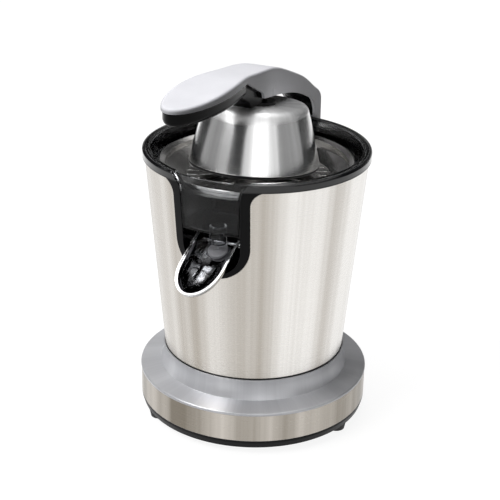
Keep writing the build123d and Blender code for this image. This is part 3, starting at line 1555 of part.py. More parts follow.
def leaned(upright):
    """Piece of the dome, drawn upright, as it hangs at rest: leaned about the pin with its foot forward."""
    return upright.part.rotate(Axis((0, 0, pin_z), (1, 0, 0)), -dome_lean)


dome_screw_places = [around(dome_screw_circle, 360 / dome_screw_count * i) for i in range(dome_screw_count)]

# Dome shell: spun and brushed steel
with BuildPart() as upright_shell:
    revolve(dome_face(0), axis=Axis.Z)
    revolve(dome_face(dome_wall), axis=Axis.Z, mode=Mode.SUBTRACT)
    with Locations(*[(x, y, crown_z) for x, y in dome_screw_places]):
        Cylinder(screw_radius + seat_clearance, cut_through * dome_wall, mode=Mode.SUBTRACT)
with BuildPart() as dome_shell:
    add(leaned(upright_shell))
dome_shell.part.label = "dome_shell"
export_step(dome_shell.part, "parts/dome_shell.step")

# Dome liner: moulded cup inside the steel, with ribs that grip the peel
liner_skin = dome_wall + seat_clearance / 2
liner_inside = liner_skin + liner_wall
liner_top_z = crown_z - liner_skin
with BuildPart() as rib_ring:
    revolve(dome_face(liner_inside - seat_clearance), axis=Axis.Z)
    revolve(dome_face(liner_inside + liner_rib_depth), axis=Axis.Z, mode=Mode.SUBTRACT)
    with BuildSketch(Plane.XY.offset(dome_z + liner_rib_bottom)):
        with PolarLocations(dome_bottom_radius / 2, liner_ribs):
            Rectangle(dome_bottom_radius, liner_rib_width)
    extrude(amount=liner_rib_top - liner_rib_bottom, mode=Mode.INTERSECT)
with BuildPart() as upright_liner:
    revolve(dome_face(liner_skin), axis=Axis.Z)
    revolve(dome_face(liner_inside), axis=Axis.Z, mode=Mode.SUBTRACT)
    add(rib_ring.part)
    with Locations(*[(x, y, liner_top_z) for x, y in dome_screw_places]):
        Cylinder(screw_radius + seat_clearance, cut_through * liner_wall, mode=Mode.SUBTRACT)
with BuildPart() as dome_liner:
    add(leaned(upright_liner))
dome_liner.part.label = "dome_liner"
export_step(dome_liner.part, "parts/dome_liner.step")

# Dome ring: black ring under the steel edge, with a lip inside the liner
lip_z = dome_z + dome_ring_lip
lip_inset = liner_inside + seat_clearance
lip_radius = dome_radius(lip_z, lip_inset)
with BuildPart() as upright_ring:
    revolve(section([
        (lip_radius - dome_ring_lip_wall, dome_z - dome_ring_height),
        (dome_bottom_radius, dome_z - dome_ring_height),
        (dome_bottom_radius, dome_z),
        (dome_radius(dome_z, lip_inset), dome_z),
        (lip_radius, lip_z),
        (lip_radius - dome_ring_lip_wall, lip_z),
    ]), axis=Axis.Z)
    ring_edge = upright_ring.edges().filter_by(GeomType.CIRCLE).group_by(Axis.Z)[0].sort_by(SortBy.RADIUS)[-1]
    fillet(ring_edge, dome_ring_lip_wall)
with BuildPart() as dome_ring:
    add(leaned(upright_ring))
dome_ring.part.label = "dome_ring"
export_step(dome_ring.part, "parts/dome_ring.step")

# Dome hub: black flange on the dome with the tongue that hangs on the pin
with BuildPart() as upright_hub:
    with Locations((0, 0, crown_z)):
        Cylinder(dome_flange_radius, dome_flange_height, align=standing)
        Box(2 * dome_tongue_half, 2 * dome_tongue_radius, pin_z - crown_z,
            align=standing)
    with BuildSketch(Plane.YZ):
        with Locations((0, pin_z)):
            Circle(dome_tongue_radius)
    extrude(amount=dome_tongue_half, both=True)
    with BuildSketch(Plane.YZ):
        with Locations((0, pin_z)):
            Circle(dome_pin_radius + running_clearance)
    extrude(amount=2 * dome_tongue_half, both=True, mode=Mode.SUBTRACT)
    with Locations(*[(x, y, crown_z) for x, y in dome_screw_places]):
        Cylinder(screw_radius, dome_screw_depth, align=standing, mode=Mode.SUBTRACT)
with BuildPart() as dome_hub:
    add(leaned(upright_hub))
dome_hub.part.label = "dome_hub"
export_step(dome_hub.part, "parts/dome_hub.step")

# Dome screws: from inside the liner, through the steel into the hub
with BuildPart() as upright_screws:
    with Locations(*[(x, y, liner_top_z - liner_wall) for x, y in dome_screw_places]):
        Cylinder(screw_head_radius, screw_head_height, align=hanging)
        Cylinder(screw_radius, crown_z - liner_top_z + liner_wall + dome_screw_depth,
                 align=standing)
with BuildPart() as dome_screws:
    add(leaned(upright_screws))
dome_screws.part.label = "dome_screws"
export_step(dome_screws.part, "parts/dome_screws.step")
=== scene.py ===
import math

import bpy
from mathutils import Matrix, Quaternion, Vector


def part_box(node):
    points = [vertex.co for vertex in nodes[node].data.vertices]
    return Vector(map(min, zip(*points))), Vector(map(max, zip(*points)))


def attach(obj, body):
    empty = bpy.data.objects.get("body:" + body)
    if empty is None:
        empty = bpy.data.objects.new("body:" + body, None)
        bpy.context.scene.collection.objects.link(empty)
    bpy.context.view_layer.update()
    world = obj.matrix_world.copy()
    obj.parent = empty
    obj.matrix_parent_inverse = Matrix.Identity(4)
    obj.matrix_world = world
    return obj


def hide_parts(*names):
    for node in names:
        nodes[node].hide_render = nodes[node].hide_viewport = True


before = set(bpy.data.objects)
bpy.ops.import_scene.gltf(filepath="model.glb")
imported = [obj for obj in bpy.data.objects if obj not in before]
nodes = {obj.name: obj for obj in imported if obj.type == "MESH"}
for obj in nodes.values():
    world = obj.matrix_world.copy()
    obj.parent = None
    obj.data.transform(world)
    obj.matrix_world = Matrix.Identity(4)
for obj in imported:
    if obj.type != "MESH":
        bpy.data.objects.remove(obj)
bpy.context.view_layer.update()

bpy.ops.object.select_all(action="DESELECT")


# Base plate: a black moulded tray that closes the base from below and carries everything else.
# Injection-moulded ABS with a fine spark-eroded grain, screwed up into the silver cover.
def add_node(tree, kind, sockets=None, **settings):
    """Puts a node in a tree, with its settings, and with its sockets set or joined."""
    made = tree.nodes.new(kind)
    for name, value in settings.items():
        setattr(made, name, value)
    for name, value in (sockets or {}).items():
        if isinstance(value, bpy.types.NodeSocket):
            tree.links.new(value, made.inputs[name])
        else:
            made.inputs[name].default_value = value
    return made


def new_group(name, inputs, outputs):
    """Starts a shader group with named sockets, and gives its tree and its two end nodes."""
    tree = bpy.data.node_groups.new(name, "ShaderNodeTree")
    for socket, kind in inputs:
        tree.interface.new_socket(socket, in_out="INPUT", socket_type=kind)
    for socket, kind in outputs:
        tree.interface.new_socket(socket, in_out="OUTPUT", socket_type=kind)
    return tree, tree.nodes.new("NodeGroupInput"), tree.nodes.new("NodeGroupOutput")


def start_finish(name, **fixed):
    """Starts a material with its even values, and gives its tree, its shader and its coordinates."""
    made = bpy.data.materials.new(name)
    made.use_nodes = True
    shader = made.node_tree.nodes["Principled BSDF"]
    for socket, value in fixed.items():
        shader.inputs[socket.replace("_", " ")].default_value = value
    place = made.node_tree.nodes.new("ShaderNodeTexCoord").outputs["Object"]
    return made, made.node_tree, shader, place


def blend_colours(tree, share, first, second, start=0.3, end=0.7):
    """Runs from one colour to another over a part of a value's range."""
    made = add_node(tree, "ShaderNodeValToRGB", {"Fac": share})
    made.color_ramp.elements[0].position = start
    made.color_ramp.elements[0].color = (*first, 1)
    made.color_ramp.elements[1].position = end
    made.color_ramp.elements[1].color = (*second, 1)
    return made.outputs["Color"]


def blend_values(tree, share, first, second, start=0.25, end=0.75):
    """Runs from one value to another over a part of a value's range."""
    return add_node(tree, "ShaderNodeMapRange", {
        "Value": share, "From Min": start, "From Max": end, "To Min": first, "To Max": second,
    }).outputs["Result"]


def dress(finish, *names):
    """Gives a finish to CAD nodes."""
    for name in names:
        piece = nodes[name]
        if not piece.material_slots:
            piece.data.materials.append(finish)
        for place in piece.material_slots:
            place.material = finish


moulded_skin, skin_in, skin_out = new_group(
    "moulded_skin",
    [("Vector", "NodeSocketVector"), ("Grain", "NodeSocketFloat")],
    [("Mottle", "NodeSocketFloat"), ("Height", "NodeSocketFloat")],
)
skin_mottle = add_node(moulded_skin, "ShaderNodeTexNoise", {
    "Vector": skin_in.outputs["Vector"], "Scale": 38.0, "Detail": 5.0, "Roughness": 0.6,
})
skin_pits = add_node(moulded_skin, "ShaderNodeTexNoise", {
    "Vector": skin_in.outputs["Vector"], "Scale": skin_in.outputs["Grain"], "Detail": 3.0, "Roughness": 0.55,
})
moulded_skin.links.new(skin_mottle.outputs["Fac"], skin_out.inputs["Mottle"])
moulded_skin.links.new(skin_pits.outputs["Fac"], skin_out.inputs["Height"])


# Edge mask: where the rounded normal turns from the face, broken by mottle. It lightens edges partly as
# rubbing, partly as a painted highlight.
edge_wear_and_highlight, edge_mask_in, edge_mask_out = new_group(
    "edge_wear_and_highlight",
    [("Edge", "NodeSocketVector"), ("Mottle", "NodeSocketFloat")],
    [("Wear_and_highlight", "NodeSocketFloat")],
)
edge_mask_face = add_node(edge_wear_and_highlight, "ShaderNodeNewGeometry")
edge_mask_turn = add_node(edge_wear_and_highlight, "ShaderNodeVectorMath", {
    0: edge_mask_in.outputs["Edge"], 1: edge_mask_face.outputs["Normal"],
}, operation="DOT_PRODUCT")
edge_mask_broken = blend_values(edge_wear_and_highlight, edge_mask_in.outputs["Mottle"], 0.3, 1.0, 0.35, 0.65)
wear_and_highlight_share = add_node(edge_wear_and_highlight, "ShaderNodeMath", {
    0: blend_values(edge_wear_and_highlight, edge_mask_turn.outputs["Value"], 0.0, 1.0, 0.99, 0.82), 1: edge_mask_broken,
}, operation="MULTIPLY")
edge_wear_and_highlight.links.new(wear_and_highlight_share.outputs["Value"], edge_mask_out.inputs["Wear_and_highlight"])


def finish_edges(tree, shader, colour, mottle, worn_and_highlight, height, depth, radius=0.0006):
    """Rounds a finish over the edges, lightens its colour there from rubbing and as a painted edge
    highlight, and raises its grain.
    """
    edge = add_node(tree, "ShaderNodeBevel", {"Radius": radius}, samples=4)
    edge_lightening = add_node(tree, "ShaderNodeGroup", {
        "Edge": edge.outputs["Normal"], "Mottle": mottle,
    }, node_tree=edge_wear_and_highlight)
    # Edges take a lighter colour: partly rubbing, partly a painted highlight standing in for lamps caught on
    # the edges.
    rubbed_and_highlit = add_node(tree, "ShaderNodeMix", {
        0: edge_lightening.outputs["Wear_and_highlight"], 6: colour, 7: (*worn_and_highlight, 1),
    }, data_type="RGBA")
    tree.links.new(rubbed_and_highlit.outputs[2], shader.inputs["Base Color"])
    bump = add_node(tree, "ShaderNodeBump", {
        "Height": height, "Strength": depth, "Distance": 0.0001, "Normal": edge.outputs["Normal"],
    })
    tree.links.new(bump.outputs["Normal"], shader.inputs["Normal"])


def moulded_finish(name, dark, light, worn_and_highlight, roughness, grain, depth, **fixed):
    """Moulded plastic or rubber: a slightly cloudy colour with a fine eroded grain, lighter at its edges
    from rubbing and as a painted highlight.
    """
    made, tree, shader, place = start_finish(name, **fixed)
    skin = add_node(tree, "ShaderNodeGroup", {"Vector": place, "Grain": grain}, node_tree=moulded_skin)
    colour = blend_colours(tree, skin.outputs["Mottle"], dark, light)
    tree.links.new(blend_values(tree, skin.outputs["Mottle"], *roughness), shader.inputs["Roughness"])
    finish_edges(tree, shader, colour, skin.outputs["Mottle"], worn_and_highlight, skin.outputs["Height"], depth)
    return made


# Its edges are lighter, partly from rubbing and partly as a painted highlight.
black_moulding = moulded_finish(
    "black_moulding", dark=(0.005, 0.005, 0.006), light=(0.010, 0.010, 0.011), worn_and_highlight=(0.04, 0.04, 0.043),
    roughness=(0.30, 0.44), grain=1900.0, depth=0.6, Specular_IOR_Level=0.15,
)
dress(black_moulding, "base_plate")


# Feet: three soft rubber buttons, pressed by their stems into the base plate.
# Moulded nitrile rubber, matt, with a little dust held in the surface.
foot_rubber = moulded_finish(
    "foot_rubber", dark=(0.010, 0.010, 0.010), light=(0.030, 0.029, 0.028), worn_and_highlight=(0.05, 0.048, 0.045),
    roughness=(0.55, 0.75), grain=1200.0, depth=1.0,
)
dress(foot_rubber, "feet", "shaft_seal")


# Base band: a strip of stainless steel rolled into a hoop round the base and brushed along its length.
# It is held between the spigots of the plate and the cover, and the cord's gland goes through it behind.
# Broad bands by bearing round the axis, used in the colour, are painted reflections; the streaks and fine
# lines are the brushing's grain.
grain_and_painted_bands, grain_in, grain_out = new_group(
    "grain_and_painted_bands",
    [("Vector", "NodeSocketVector"), ("Bands", "NodeSocketFloat"), ("Streaks", "NodeSocketFloat"),
     ("Lines", "NodeSocketFloat")],
    [("Streak", "NodeSocketFloat"), ("Band", "NodeSocketFloat"), ("Line", "NodeSocketFloat")],
)
grain_parts = add_node(grain_and_painted_bands, "ShaderNodeSeparateXYZ", {"Vector": grain_in.outputs["Vector"]})
grain_flat = add_node(grain_and_painted_bands, "ShaderNodeCombineXYZ", {
    "X": grain_parts.outputs["X"], "Y": grain_parts.outputs["Y"],
})
grain_round = add_node(grain_and_painted_bands, "ShaderNodeVectorMath", {
    0: grain_flat.outputs["Vector"],
}, operation="NORMALIZE")
grain_reach = add_node(grain_and_painted_bands, "ShaderNodeVectorMath", {
    0: grain_flat.outputs["Vector"],
}, operation="LENGTH")
grain_along = add_node(grain_and_painted_bands, "ShaderNodeMath", {
    0: grain_parts.outputs["Z"], 1: grain_reach.outputs["Value"],
}, operation="SUBTRACT")
grain_rise = add_node(grain_and_painted_bands, "ShaderNodeCombineXYZ", {"Z": grain_along.outputs["Value"]})
grain_streak = add_node(grain_and_painted_bands, "ShaderNodeVectorMath", {
    0: grain_round.outputs["Vector"], "Scale": grain_in.outputs["Streaks"],
}, operation="SCALE")
grain_streak_place = add_node(grain_and_painted_bands, "ShaderNodeVectorMath", {
    0: grain_streak.outputs["Vector"], 1: grain_rise.outputs["Vector"],
}, operation="ADD")
grain_streaks = add_node(grain_and_painted_bands, "ShaderNodeTexNoise", {
    "Vector": grain_streak_place.outputs["Vector"], "Scale": 1.0, "Detail": 5.0, "Roughness": 0.62,
})
painted_reflection_bands = add_node(grain_and_painted_bands, "ShaderNodeTexNoise", {
    "Vector": grain_round.outputs["Vector"], "Scale": grain_in.outputs["Bands"],
    "Detail": 2.0, "Roughness": 0.5,
})
grain_line_rise = add_node(grain_and_painted_bands, "ShaderNodeVectorMath", {
    0: grain_rise.outputs["Vector"], "Scale": grain_in.outputs["Lines"],
}, operation="SCALE")
grain_line_place = add_node(grain_and_painted_bands, "ShaderNodeVectorMath", {
    0: grain_round.outputs["Vector"], 1: grain_line_rise.outputs["Vector"],
}, operation="ADD")
grain_lines = add_node(grain_and_painted_bands, "ShaderNodeTexNoise", {
    "Vector": grain_line_place.outputs["Vector"], "Scale": 2.0, "Detail": 3.0, "Roughness": 0.7,
})
grain_and_painted_bands.links.new(grain_streaks.outputs["Fac"], grain_out.inputs["Streak"])
grain_and_painted_bands.links.new(painted_reflection_bands.outputs["Fac"], grain_out.inputs["Band"])
grain_and_painted_bands.links.new(grain_lines.outputs["Fac"], grain_out.inputs["Line"])


def brushed_finish(name, dark, light, worn_and_highlight, roughness, bands, streaks, lines, depth, **fixed):
    """Metal brushed round the axis: its colour carries soft painted reflection bands and brushed streaks
    along its height, with fine lines round it, and edges lighter from rubbing and as a painted highlight.
    """
    made, tree, shader, place = start_finish(name, Anisotropic_Rotation=0.25, **fixed)
    grain = add_node(tree, "ShaderNodeGroup", {
        "Vector": place, "Bands": bands, "Streaks": streaks, "Lines": lines,
    }, node_tree=grain_and_painted_bands)
    # Mostly the painted reflection bands, with a little of the brushed streaks.
    share = add_node(tree, "ShaderNodeMix", {
        "Factor": 0.15, "A": grain.outputs["Band"], "B": grain.outputs["Streak"],
    })
    colour = blend_colours(tree, share.outputs["Result"], dark, light, 0.38, 0.62)
    tree.links.new(blend_values(tree, grain.outputs["Line"], *roughness), shader.inputs["Roughness"])
    finish_edges(tree, shader, colour, grain.outputs["Streak"], worn_and_highlight, grain.outputs["Line"], depth)
    tangent = add_node(tree, "ShaderNodeTangent", direction_type="RADIAL", axis="Z")
    tree.links.new(tangent.outputs["Tangent"], shader.inputs["Tangent"])
    return made


# Its dark and light bands round the hoop are painted reflections; the fine streaks are its brushing.
band_steel = brushed_finish(
    "band_steel", dark=(0.22, 0.195, 0.16), light=(0.61, 0.57, 0.52), worn_and_highlight=(0.85, 0.82, 0.78),
    roughness=(0.24, 0.36), bands=2.2, streaks=20.0, lines=700.0, depth=0.1, Metallic=1.0,
    Anisotropic=0.6,
)
dress(band_steel, "base_band")


# Base cover: the silver top of the base, with a flat land, a hollow cove and the collar under the body.
# Spun aluminium, satin brushed as it turned and lacquered, screwed down on the plate's bosses.
# The dark and light sectors round the land and cove are painted reflections; the streaks are its brushing.
base_silver = brushed_finish(
    "base_silver", dark=(0.56, 0.565, 0.59), light=(0.76, 0.765, 0.79), worn_and_highlight=(0.86, 0.865, 0.88),
    roughness=(0.30, 0.42), bands=2.0, streaks=30.0, lines=500.0, depth=0.06, Metallic=0.45,
    Anisotropic=0.4,
)
dress(base_silver, "base_cover")


# Screws, rods, nuts and pins: bright machine steel, turned and rolled, each driven into its boss or ear.
# The steel has faint turning marks and a little oil-dark mottling.
def metal_finish(name, dark, light, worn_and_highlight, roughness, **fixed):
    """Plain worked metal: mottled, with fine turning marks, and edges lighter from rubbing and as a painted
    highlight.
    """
    made, tree, shader, place = start_finish(name, Metallic=1.0, **fixed)
    skin = add_node(tree, "ShaderNodeGroup", {"Vector": place, "Grain": 900.0}, node_tree=moulded_skin)
    colour = blend_colours(tree, skin.outputs["Mottle"], dark, light)
    tree.links.new(blend_values(tree, skin.outputs["Height"], *roughness), shader.inputs["Roughness"])
    finish_edges(tree, shader, colour, skin.outputs["Mottle"], worn_and_highlight, skin.outputs["Height"], 0.1, 0.0004)
    return made


machine_steel = metal_finish(
    "machine_steel", dark=(0.42, 0.42, 0.43), light=(0.62, 0.62, 0.63), worn_and_highlight=(0.78, 0.78, 0.78),
    roughness=(0.2, 0.4),
)
dress(machine_steel, "gearbox_screws", "motor_screws", "dome_screws", "tie_rods", "tie_nuts", "hinge_pin",
      "spout_pin", "dome_pin", "gear_axle", "pinion", "drive_shaft", "return_spring")


# Bracket, lever and base screws: pan heads with a driven cross, seen behind, under the handle and below.
# The heads are cold formed and zinc plated, and each sits at the bottom of its counterbore.
def form_screw(name, shank_length):
    """Forms a screw with the middle of its head's top at the origin and its shank hanging down."""
    head_radius, head_height, head_round = 0.0032, 0.002, 0.0007
    shank_radius = 0.0016
    cross_size = (0.0040, 0.0009, 0.0022)
    bpy.ops.object.select_all(action="DESELECT")
    bpy.ops.mesh.primitive_cylinder_add(
        vertices=40, radius=head_radius, depth=head_height, location=(0, 0, -head_height / 2),
    )
    screw = bpy.context.object
    screw.name = name
    bpy.ops.object.transform_apply(location=True)
    bpy.ops.object.mode_set(mode="EDIT")
    bpy.ops.mesh.select_all(action="DESELECT")
    bpy.ops.object.mode_set(mode="OBJECT")
    for face in screw.data.polygons:
        face.select = face.normal.z < -0.9
    bpy.ops.object.mode_set(mode="EDIT")
    bpy.ops.mesh.inset(thickness=head_radius - shank_radius)
    bpy.ops.mesh.extrude_region_move(TRANSFORM_OT_translate={"value": (0, 0, -shank_length)})
    bpy.ops.mesh.select_all(action="DESELECT")
    bpy.ops.object.mode_set(mode="OBJECT")
    for face in screw.data.polygons:
        face.select = face.normal.z > 0.9
    bpy.ops.object.mode_set(mode="EDIT")
    bpy.ops.mesh.bevel(offset=head_round, segments=4)
    bpy.ops.object.mode_set(mode="OBJECT")
    for turn in (0.0, math.pi / 2):
        bpy.ops.mesh.primitive_cube_add(size=1.0, location=(0, 0, 0), rotation=(0, 0, turn))
        punch = bpy.context.object
        punch.scale = cross_size
        bpy.ops.object.select_all(action="DESELECT")
        bpy.context.view_layer.objects.active = screw
        cut = screw.modifiers.new("cross", "BOOLEAN")
        cut.operation = "DIFFERENCE"
        cut.solver = "EXACT"
        cut.object = punch
        bpy.ops.object.modifier_apply(modifier=cut.name)
        bpy.data.objects.remove(punch, do_unlink=True)
    return screw


def drive_screws(name, node, body, shank_length, turn, spots):
    """Puts a group of screws in place, all turned one way, and lets them stand for their CAD solids."""
    group = []
    for count, spot in enumerate(spots):
        screw = form_screw(f"{name}_{count}", shank_length)
        screw.rotation_euler = turn
        screw.location = spot
        group.append(screw)
    bpy.ops.object.select_all(action="DESELECT")
    for screw in group:
        screw.select_set(True)
    bpy.context.view_layer.objects.active = group[0]
    bpy.ops.object.join()
    whole = bpy.context.object
    whole.name = name
    bpy.ops.object.transform_apply(location=True, rotation=True)
    bpy.ops.object.shade_smooth_by_angle(angle=math.radians(35))
    whole.data.materials.append(machine_steel)
    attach(whole, body)
    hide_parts(node)


from_behind = (-math.pi / 2, 0, 0)
from_below = (math.pi, 0, 0)
bracket_shank = 0.0348
bracket_side = 0.010
bracket_levels = (0.179, 0.188)
bracket_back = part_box("bracket_screws")[1][1]
drive_screws("bracket_screws_crossed", "bracket_screws", "housing", bracket_shank, from_behind, [
    (side * bracket_side, bracket_back, level) for side in (-1, 1) for level in bracket_levels
])
lever_shank = 0.0122
lever_places = ((-0.011, -0.075), (0.011, -0.075), (0, -0.140))
lever_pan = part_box("lever_screws")[0][2]
drive_screws("lever_screws_crossed", "lever_screws", "lever", lever_shank, from_below, [
    (side, along, lever_pan) for side, along in lever_places
])
base_shank = 0.0106
base_circle = 0.094
base_bearings = [math.radians(bearing) for bearing in (18.5, 138.5, 258.5)]
plate_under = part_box("base_screws")[0][2]
drive_screws("base_screws_crossed", "base_screws", "housing", base_shank, from_below, [
    (base_circle * math.sin(bearing), -base_circle * math.cos(bearing), plate_under)
    for bearing in base_bearings
])


# Cord gland and lower ring: small black mouldings, the one a bush for the cord in the band behind,
# the other the ring that shows as a thin dark line between the base and the body.
dress(black_moulding, "cord_gland", "lower_ring")


# Gearbox, switch and motor, closed in the body: a glass-filled housing, moulded nylon gears on steel,
# bronze bushes, and a small motor in a plated can with ferrite magnets.
gearbox_moulding = moulded_finish(
    "gearbox_moulding", dark=(0.07, 0.07, 0.08), light=(0.13, 0.13, 0.14), worn_and_highlight=(0.19, 0.19, 0.20),
    roughness=(0.45, 0.6), grain=900.0, depth=0.8,
)
dress(gearbox_moulding, "gearbox_housing", "motor_cap", "start_switch")
nylon = moulded_finish(
    "nylon", dark=(0.74, 0.73, 0.69), light=(0.86, 0.85, 0.81), worn_and_highlight=(0.90, 0.89, 0.86),
    roughness=(0.35, 0.5), grain=700.0, depth=0.4,
)
dress(nylon, "output_gear", "compound_gear", "thrust_pad", "switch_plunger", "lever_bushes")
bush_bronze = metal_finish(
    "bush_bronze", dark=(0.48, 0.32, 0.14), light=(0.70, 0.52, 0.28), worn_and_highlight=(0.82, 0.66, 0.40),
    roughness=(0.28, 0.45),
)
dress(bush_bronze, "upper_bush", "lower_bush")
plated_steel = metal_finish(
    "plated_steel", dark=(0.36, 0.36, 0.37), light=(0.52, 0.52, 0.53), worn_and_highlight=(0.66, 0.66, 0.66),
    roughness=(0.3, 0.45),
)
dress(plated_steel, "motor_can", "armature")
magnet_ferrite = moulded_finish(
    "magnet_ferrite", dark=(0.06, 0.06, 0.065), light=(0.12, 0.12, 0.125), worn_and_highlight=(0.16, 0.16, 0.165),
    roughness=(0.6, 0.8), grain=500.0, depth=1.0,
)
dress(magnet_ferrite, "motor_magnets")


# Body shell: a cone rolled from brushed stainless sheet, notched at the front for the spout's window.
# It is clamped between the lower ring and the rim by the tie rods inside.
# Its broad dark and light bands round the cone are painted reflections; the fine streaks are its brushing.
body_steel = brushed_finish(
    "body_steel", dark=(0.44, 0.405, 0.36), light=(0.86, 0.84, 0.81), worn_and_highlight=(0.93, 0.91, 0.88),
    roughness=(0.22, 0.32), bands=1.7, streaks=18.0, lines=620.0, depth=0.08, Metallic=1.0,
    Anisotropic=0.7,
)
dress(body_steel, "body_shell")


# Upper housing and spout bezel: glossy black mouldings that make the rim, the window's frame
# and the recess that the spout hangs in. Polished ABS, brightest on the rim, where hands wipe it.
# Its edges are far lighter than its face: painted highlight lines, with a little rubbing.
black_polish = moulded_finish(
    "black_polish", dark=(0.002, 0.002, 0.003), light=(0.005, 0.005, 0.006), worn_and_highlight=(0.08, 0.08, 0.085),
    roughness=(0.04, 0.09), grain=90.0, depth=0.015, Specular_IOR_Level=0.1,
)


def blend_up(tree, first, second, start, end):
    """Runs from one value to another over a part of a piece's height."""
    place = add_node(tree, "ShaderNodeTexCoord")
    parts = add_node(tree, "ShaderNodeSeparateXYZ", {"Vector": place.outputs["Object"]})
    return blend_values(tree, parts.outputs["Z"], first, second, start, end)


rim_foot, rim_full = 0.2435, 0.2455
polish_tree = black_polish.node_tree
polish_tree.links.new(
    blend_up(polish_tree, 0.0, 1.0, rim_foot, rim_full),
    polish_tree.nodes["Principled BSDF"].inputs["Coat Weight"],
)
dress(black_polish, "upper_housing", "spout_bezel")


# Juice collector: a bowl with the window's wall and the outlet tube in one piece.
# Injection-moulded smoky clear plastic, with faint flow marks and a trace of haze.
clear_smoke, smoke_tree, smoke_shader, smoke_place = start_finish(
    "clear_smoke", Transmission_Weight=1.0, IOR=1.22,
)
smoke_skin = add_node(smoke_tree, "ShaderNodeGroup", {
    "Vector": smoke_place, "Grain": 14.0,
}, node_tree=moulded_skin)
smoke_tree.links.new(
    blend_colours(smoke_tree, smoke_skin.outputs["Mottle"], (0.60, 0.61, 0.62), (0.82, 0.83, 0.84)),
    smoke_shader.inputs["Base Color"],
)
smoke_tree.links.new(
    blend_values(smoke_tree, smoke_skin.outputs["Mottle"], 0.05, 0.10), smoke_shader.inputs["Roughness"],
)
smoke_edge = add_node(smoke_tree, "ShaderNodeBevel", {"Radius": 0.0005}, samples=4)
smoke_wear = add_node(smoke_tree, "ShaderNodeGroup", {
    "Edge": smoke_edge.outputs["Normal"], "Mottle": smoke_skin.outputs["Mottle"],
}, node_tree=edge_wear_and_highlight)
smoke_tree.links.new(smoke_wear.outputs["Wear_and_highlight"], smoke_shader.inputs["Coat Weight"])
smoke_bump = add_node(smoke_tree, "ShaderNodeBump", {
    "Height": smoke_skin.outputs["Height"], "Strength": 0.08, "Distance": 0.001,
    "Normal": smoke_edge.outputs["Normal"],
})
smoke_tree.links.new(smoke_bump.outputs["Normal"], smoke_shader.inputs["Normal"])
dress(clear_smoke, "juice_collector")


# Strainer: the dish that holds back the pulp, hung by its lip in the collector over the bowl.
# Pressed from thin stainless sheet, polished inside and out, with its slots punched through.
strainer_steel = metal_finish(
    "strainer_steel", dark=(0.56, 0.55, 0.54), light=(0.78, 0.77, 0.75), worn_and_highlight=(0.93, 0.92, 0.90),
    roughness=(0.14, 0.26),
)
dress(strainer_steel, "strainer")


# Cone and pressing ribs: the cone that turns in the fruit and the ribbed lining of the dome over it.
# Semi-gloss dark plastic, lighter at its edges, partly where peel and pulp rub it and partly as a painted
# highlight.
dish_moulding = moulded_finish(
    "dish_moulding", dark=(0.022, 0.023, 0.025), light=(0.042, 0.043, 0.046), worn_and_highlight=(0.09, 0.09, 0.095),
    roughness=(0.18, 0.30), grain=420.0, depth=0.16,
)
dress(dish_moulding, "reamer", "dome_liner")


# Spout shell and liner: a trough that turns on a pin in the recess and lets juice run when it is down.
# Drawn steel, polished bright outside, with a darker polished channel pressed into it.
polished_steel = metal_finish(
    "polished_steel", dark=(0.46, 0.46, 0.46), light=(0.62, 0.62, 0.62), worn_and_highlight=(0.80, 0.80, 0.80),
    roughness=(0.06, 0.16),
)
dress(polished_steel, "spout_shell")
liner_steel = metal_finish(
    "liner_steel", dark=(0.24, 0.24, 0.25), light=(0.38, 0.38, 0.39), worn_and_highlight=(0.60, 0.60, 0.60),
    roughness=(0.05, 0.12),
)
dress(liner_steel, "spout_liner")


# Drip pad: a grey silicone disc on the channel's floor, under the outlet.
# Soft and matt, with a little dust on it.
pad_silicone = moulded_finish(
    "pad_silicone", dark=(0.29, 0.29, 0.31), light=(0.39, 0.39, 0.41), worn_and_highlight=(0.48, 0.48, 0.50),
    roughness=(0.5, 0.7), grain=1100.0, depth=0.8,
)
dress(pad_silicone, "drip_pad")


# Hinge bracket, lever cover, dome ring and hub: black mouldings round the lever and the dome.
# Eroded ABS, but for the lever's cover, which is smoother, fills the lever from below and is screwed to it.
dress(black_moulding, "hinge_bracket", "dome_ring", "dome_hub")
cover_black = moulded_finish(
    "cover_black", dark=(0.003, 0.003, 0.0035), light=(0.007, 0.007, 0.0075), worn_and_highlight=(0.03, 0.03, 0.033),
    roughness=(0.14, 0.24), grain=900.0, depth=0.2, Specular_IOR_Level=0.08,
)
dress(cover_black, "lever_cover")


# Lever shell: the cast handle and arm, open below, that swings over the body.
# Zinc casting with a satin silver coat, smooth to the hand.
flake_coat, flake_in, flake_out = new_group(
    "flake_coat",
    [("Vector", "NodeSocketVector")],
    [("Flake", "NodeSocketFloat"), ("Cloud", "NodeSocketFloat")],
)
flake_fine = add_node(flake_coat, "ShaderNodeTexNoise", {
    "Vector": flake_in.outputs["Vector"], "Scale": 2600.0, "Detail": 1.0,
})
flake_cloud = add_node(flake_coat, "ShaderNodeTexNoise", {
    "Vector": flake_in.outputs["Vector"], "Scale": 22.0, "Detail": 4.0, "Roughness": 0.55,
})
flake_coat.links.new(flake_fine.outputs["Fac"], flake_out.inputs["Flake"])
flake_coat.links.new(flake_cloud.outputs["Fac"], flake_out.inputs["Cloud"])


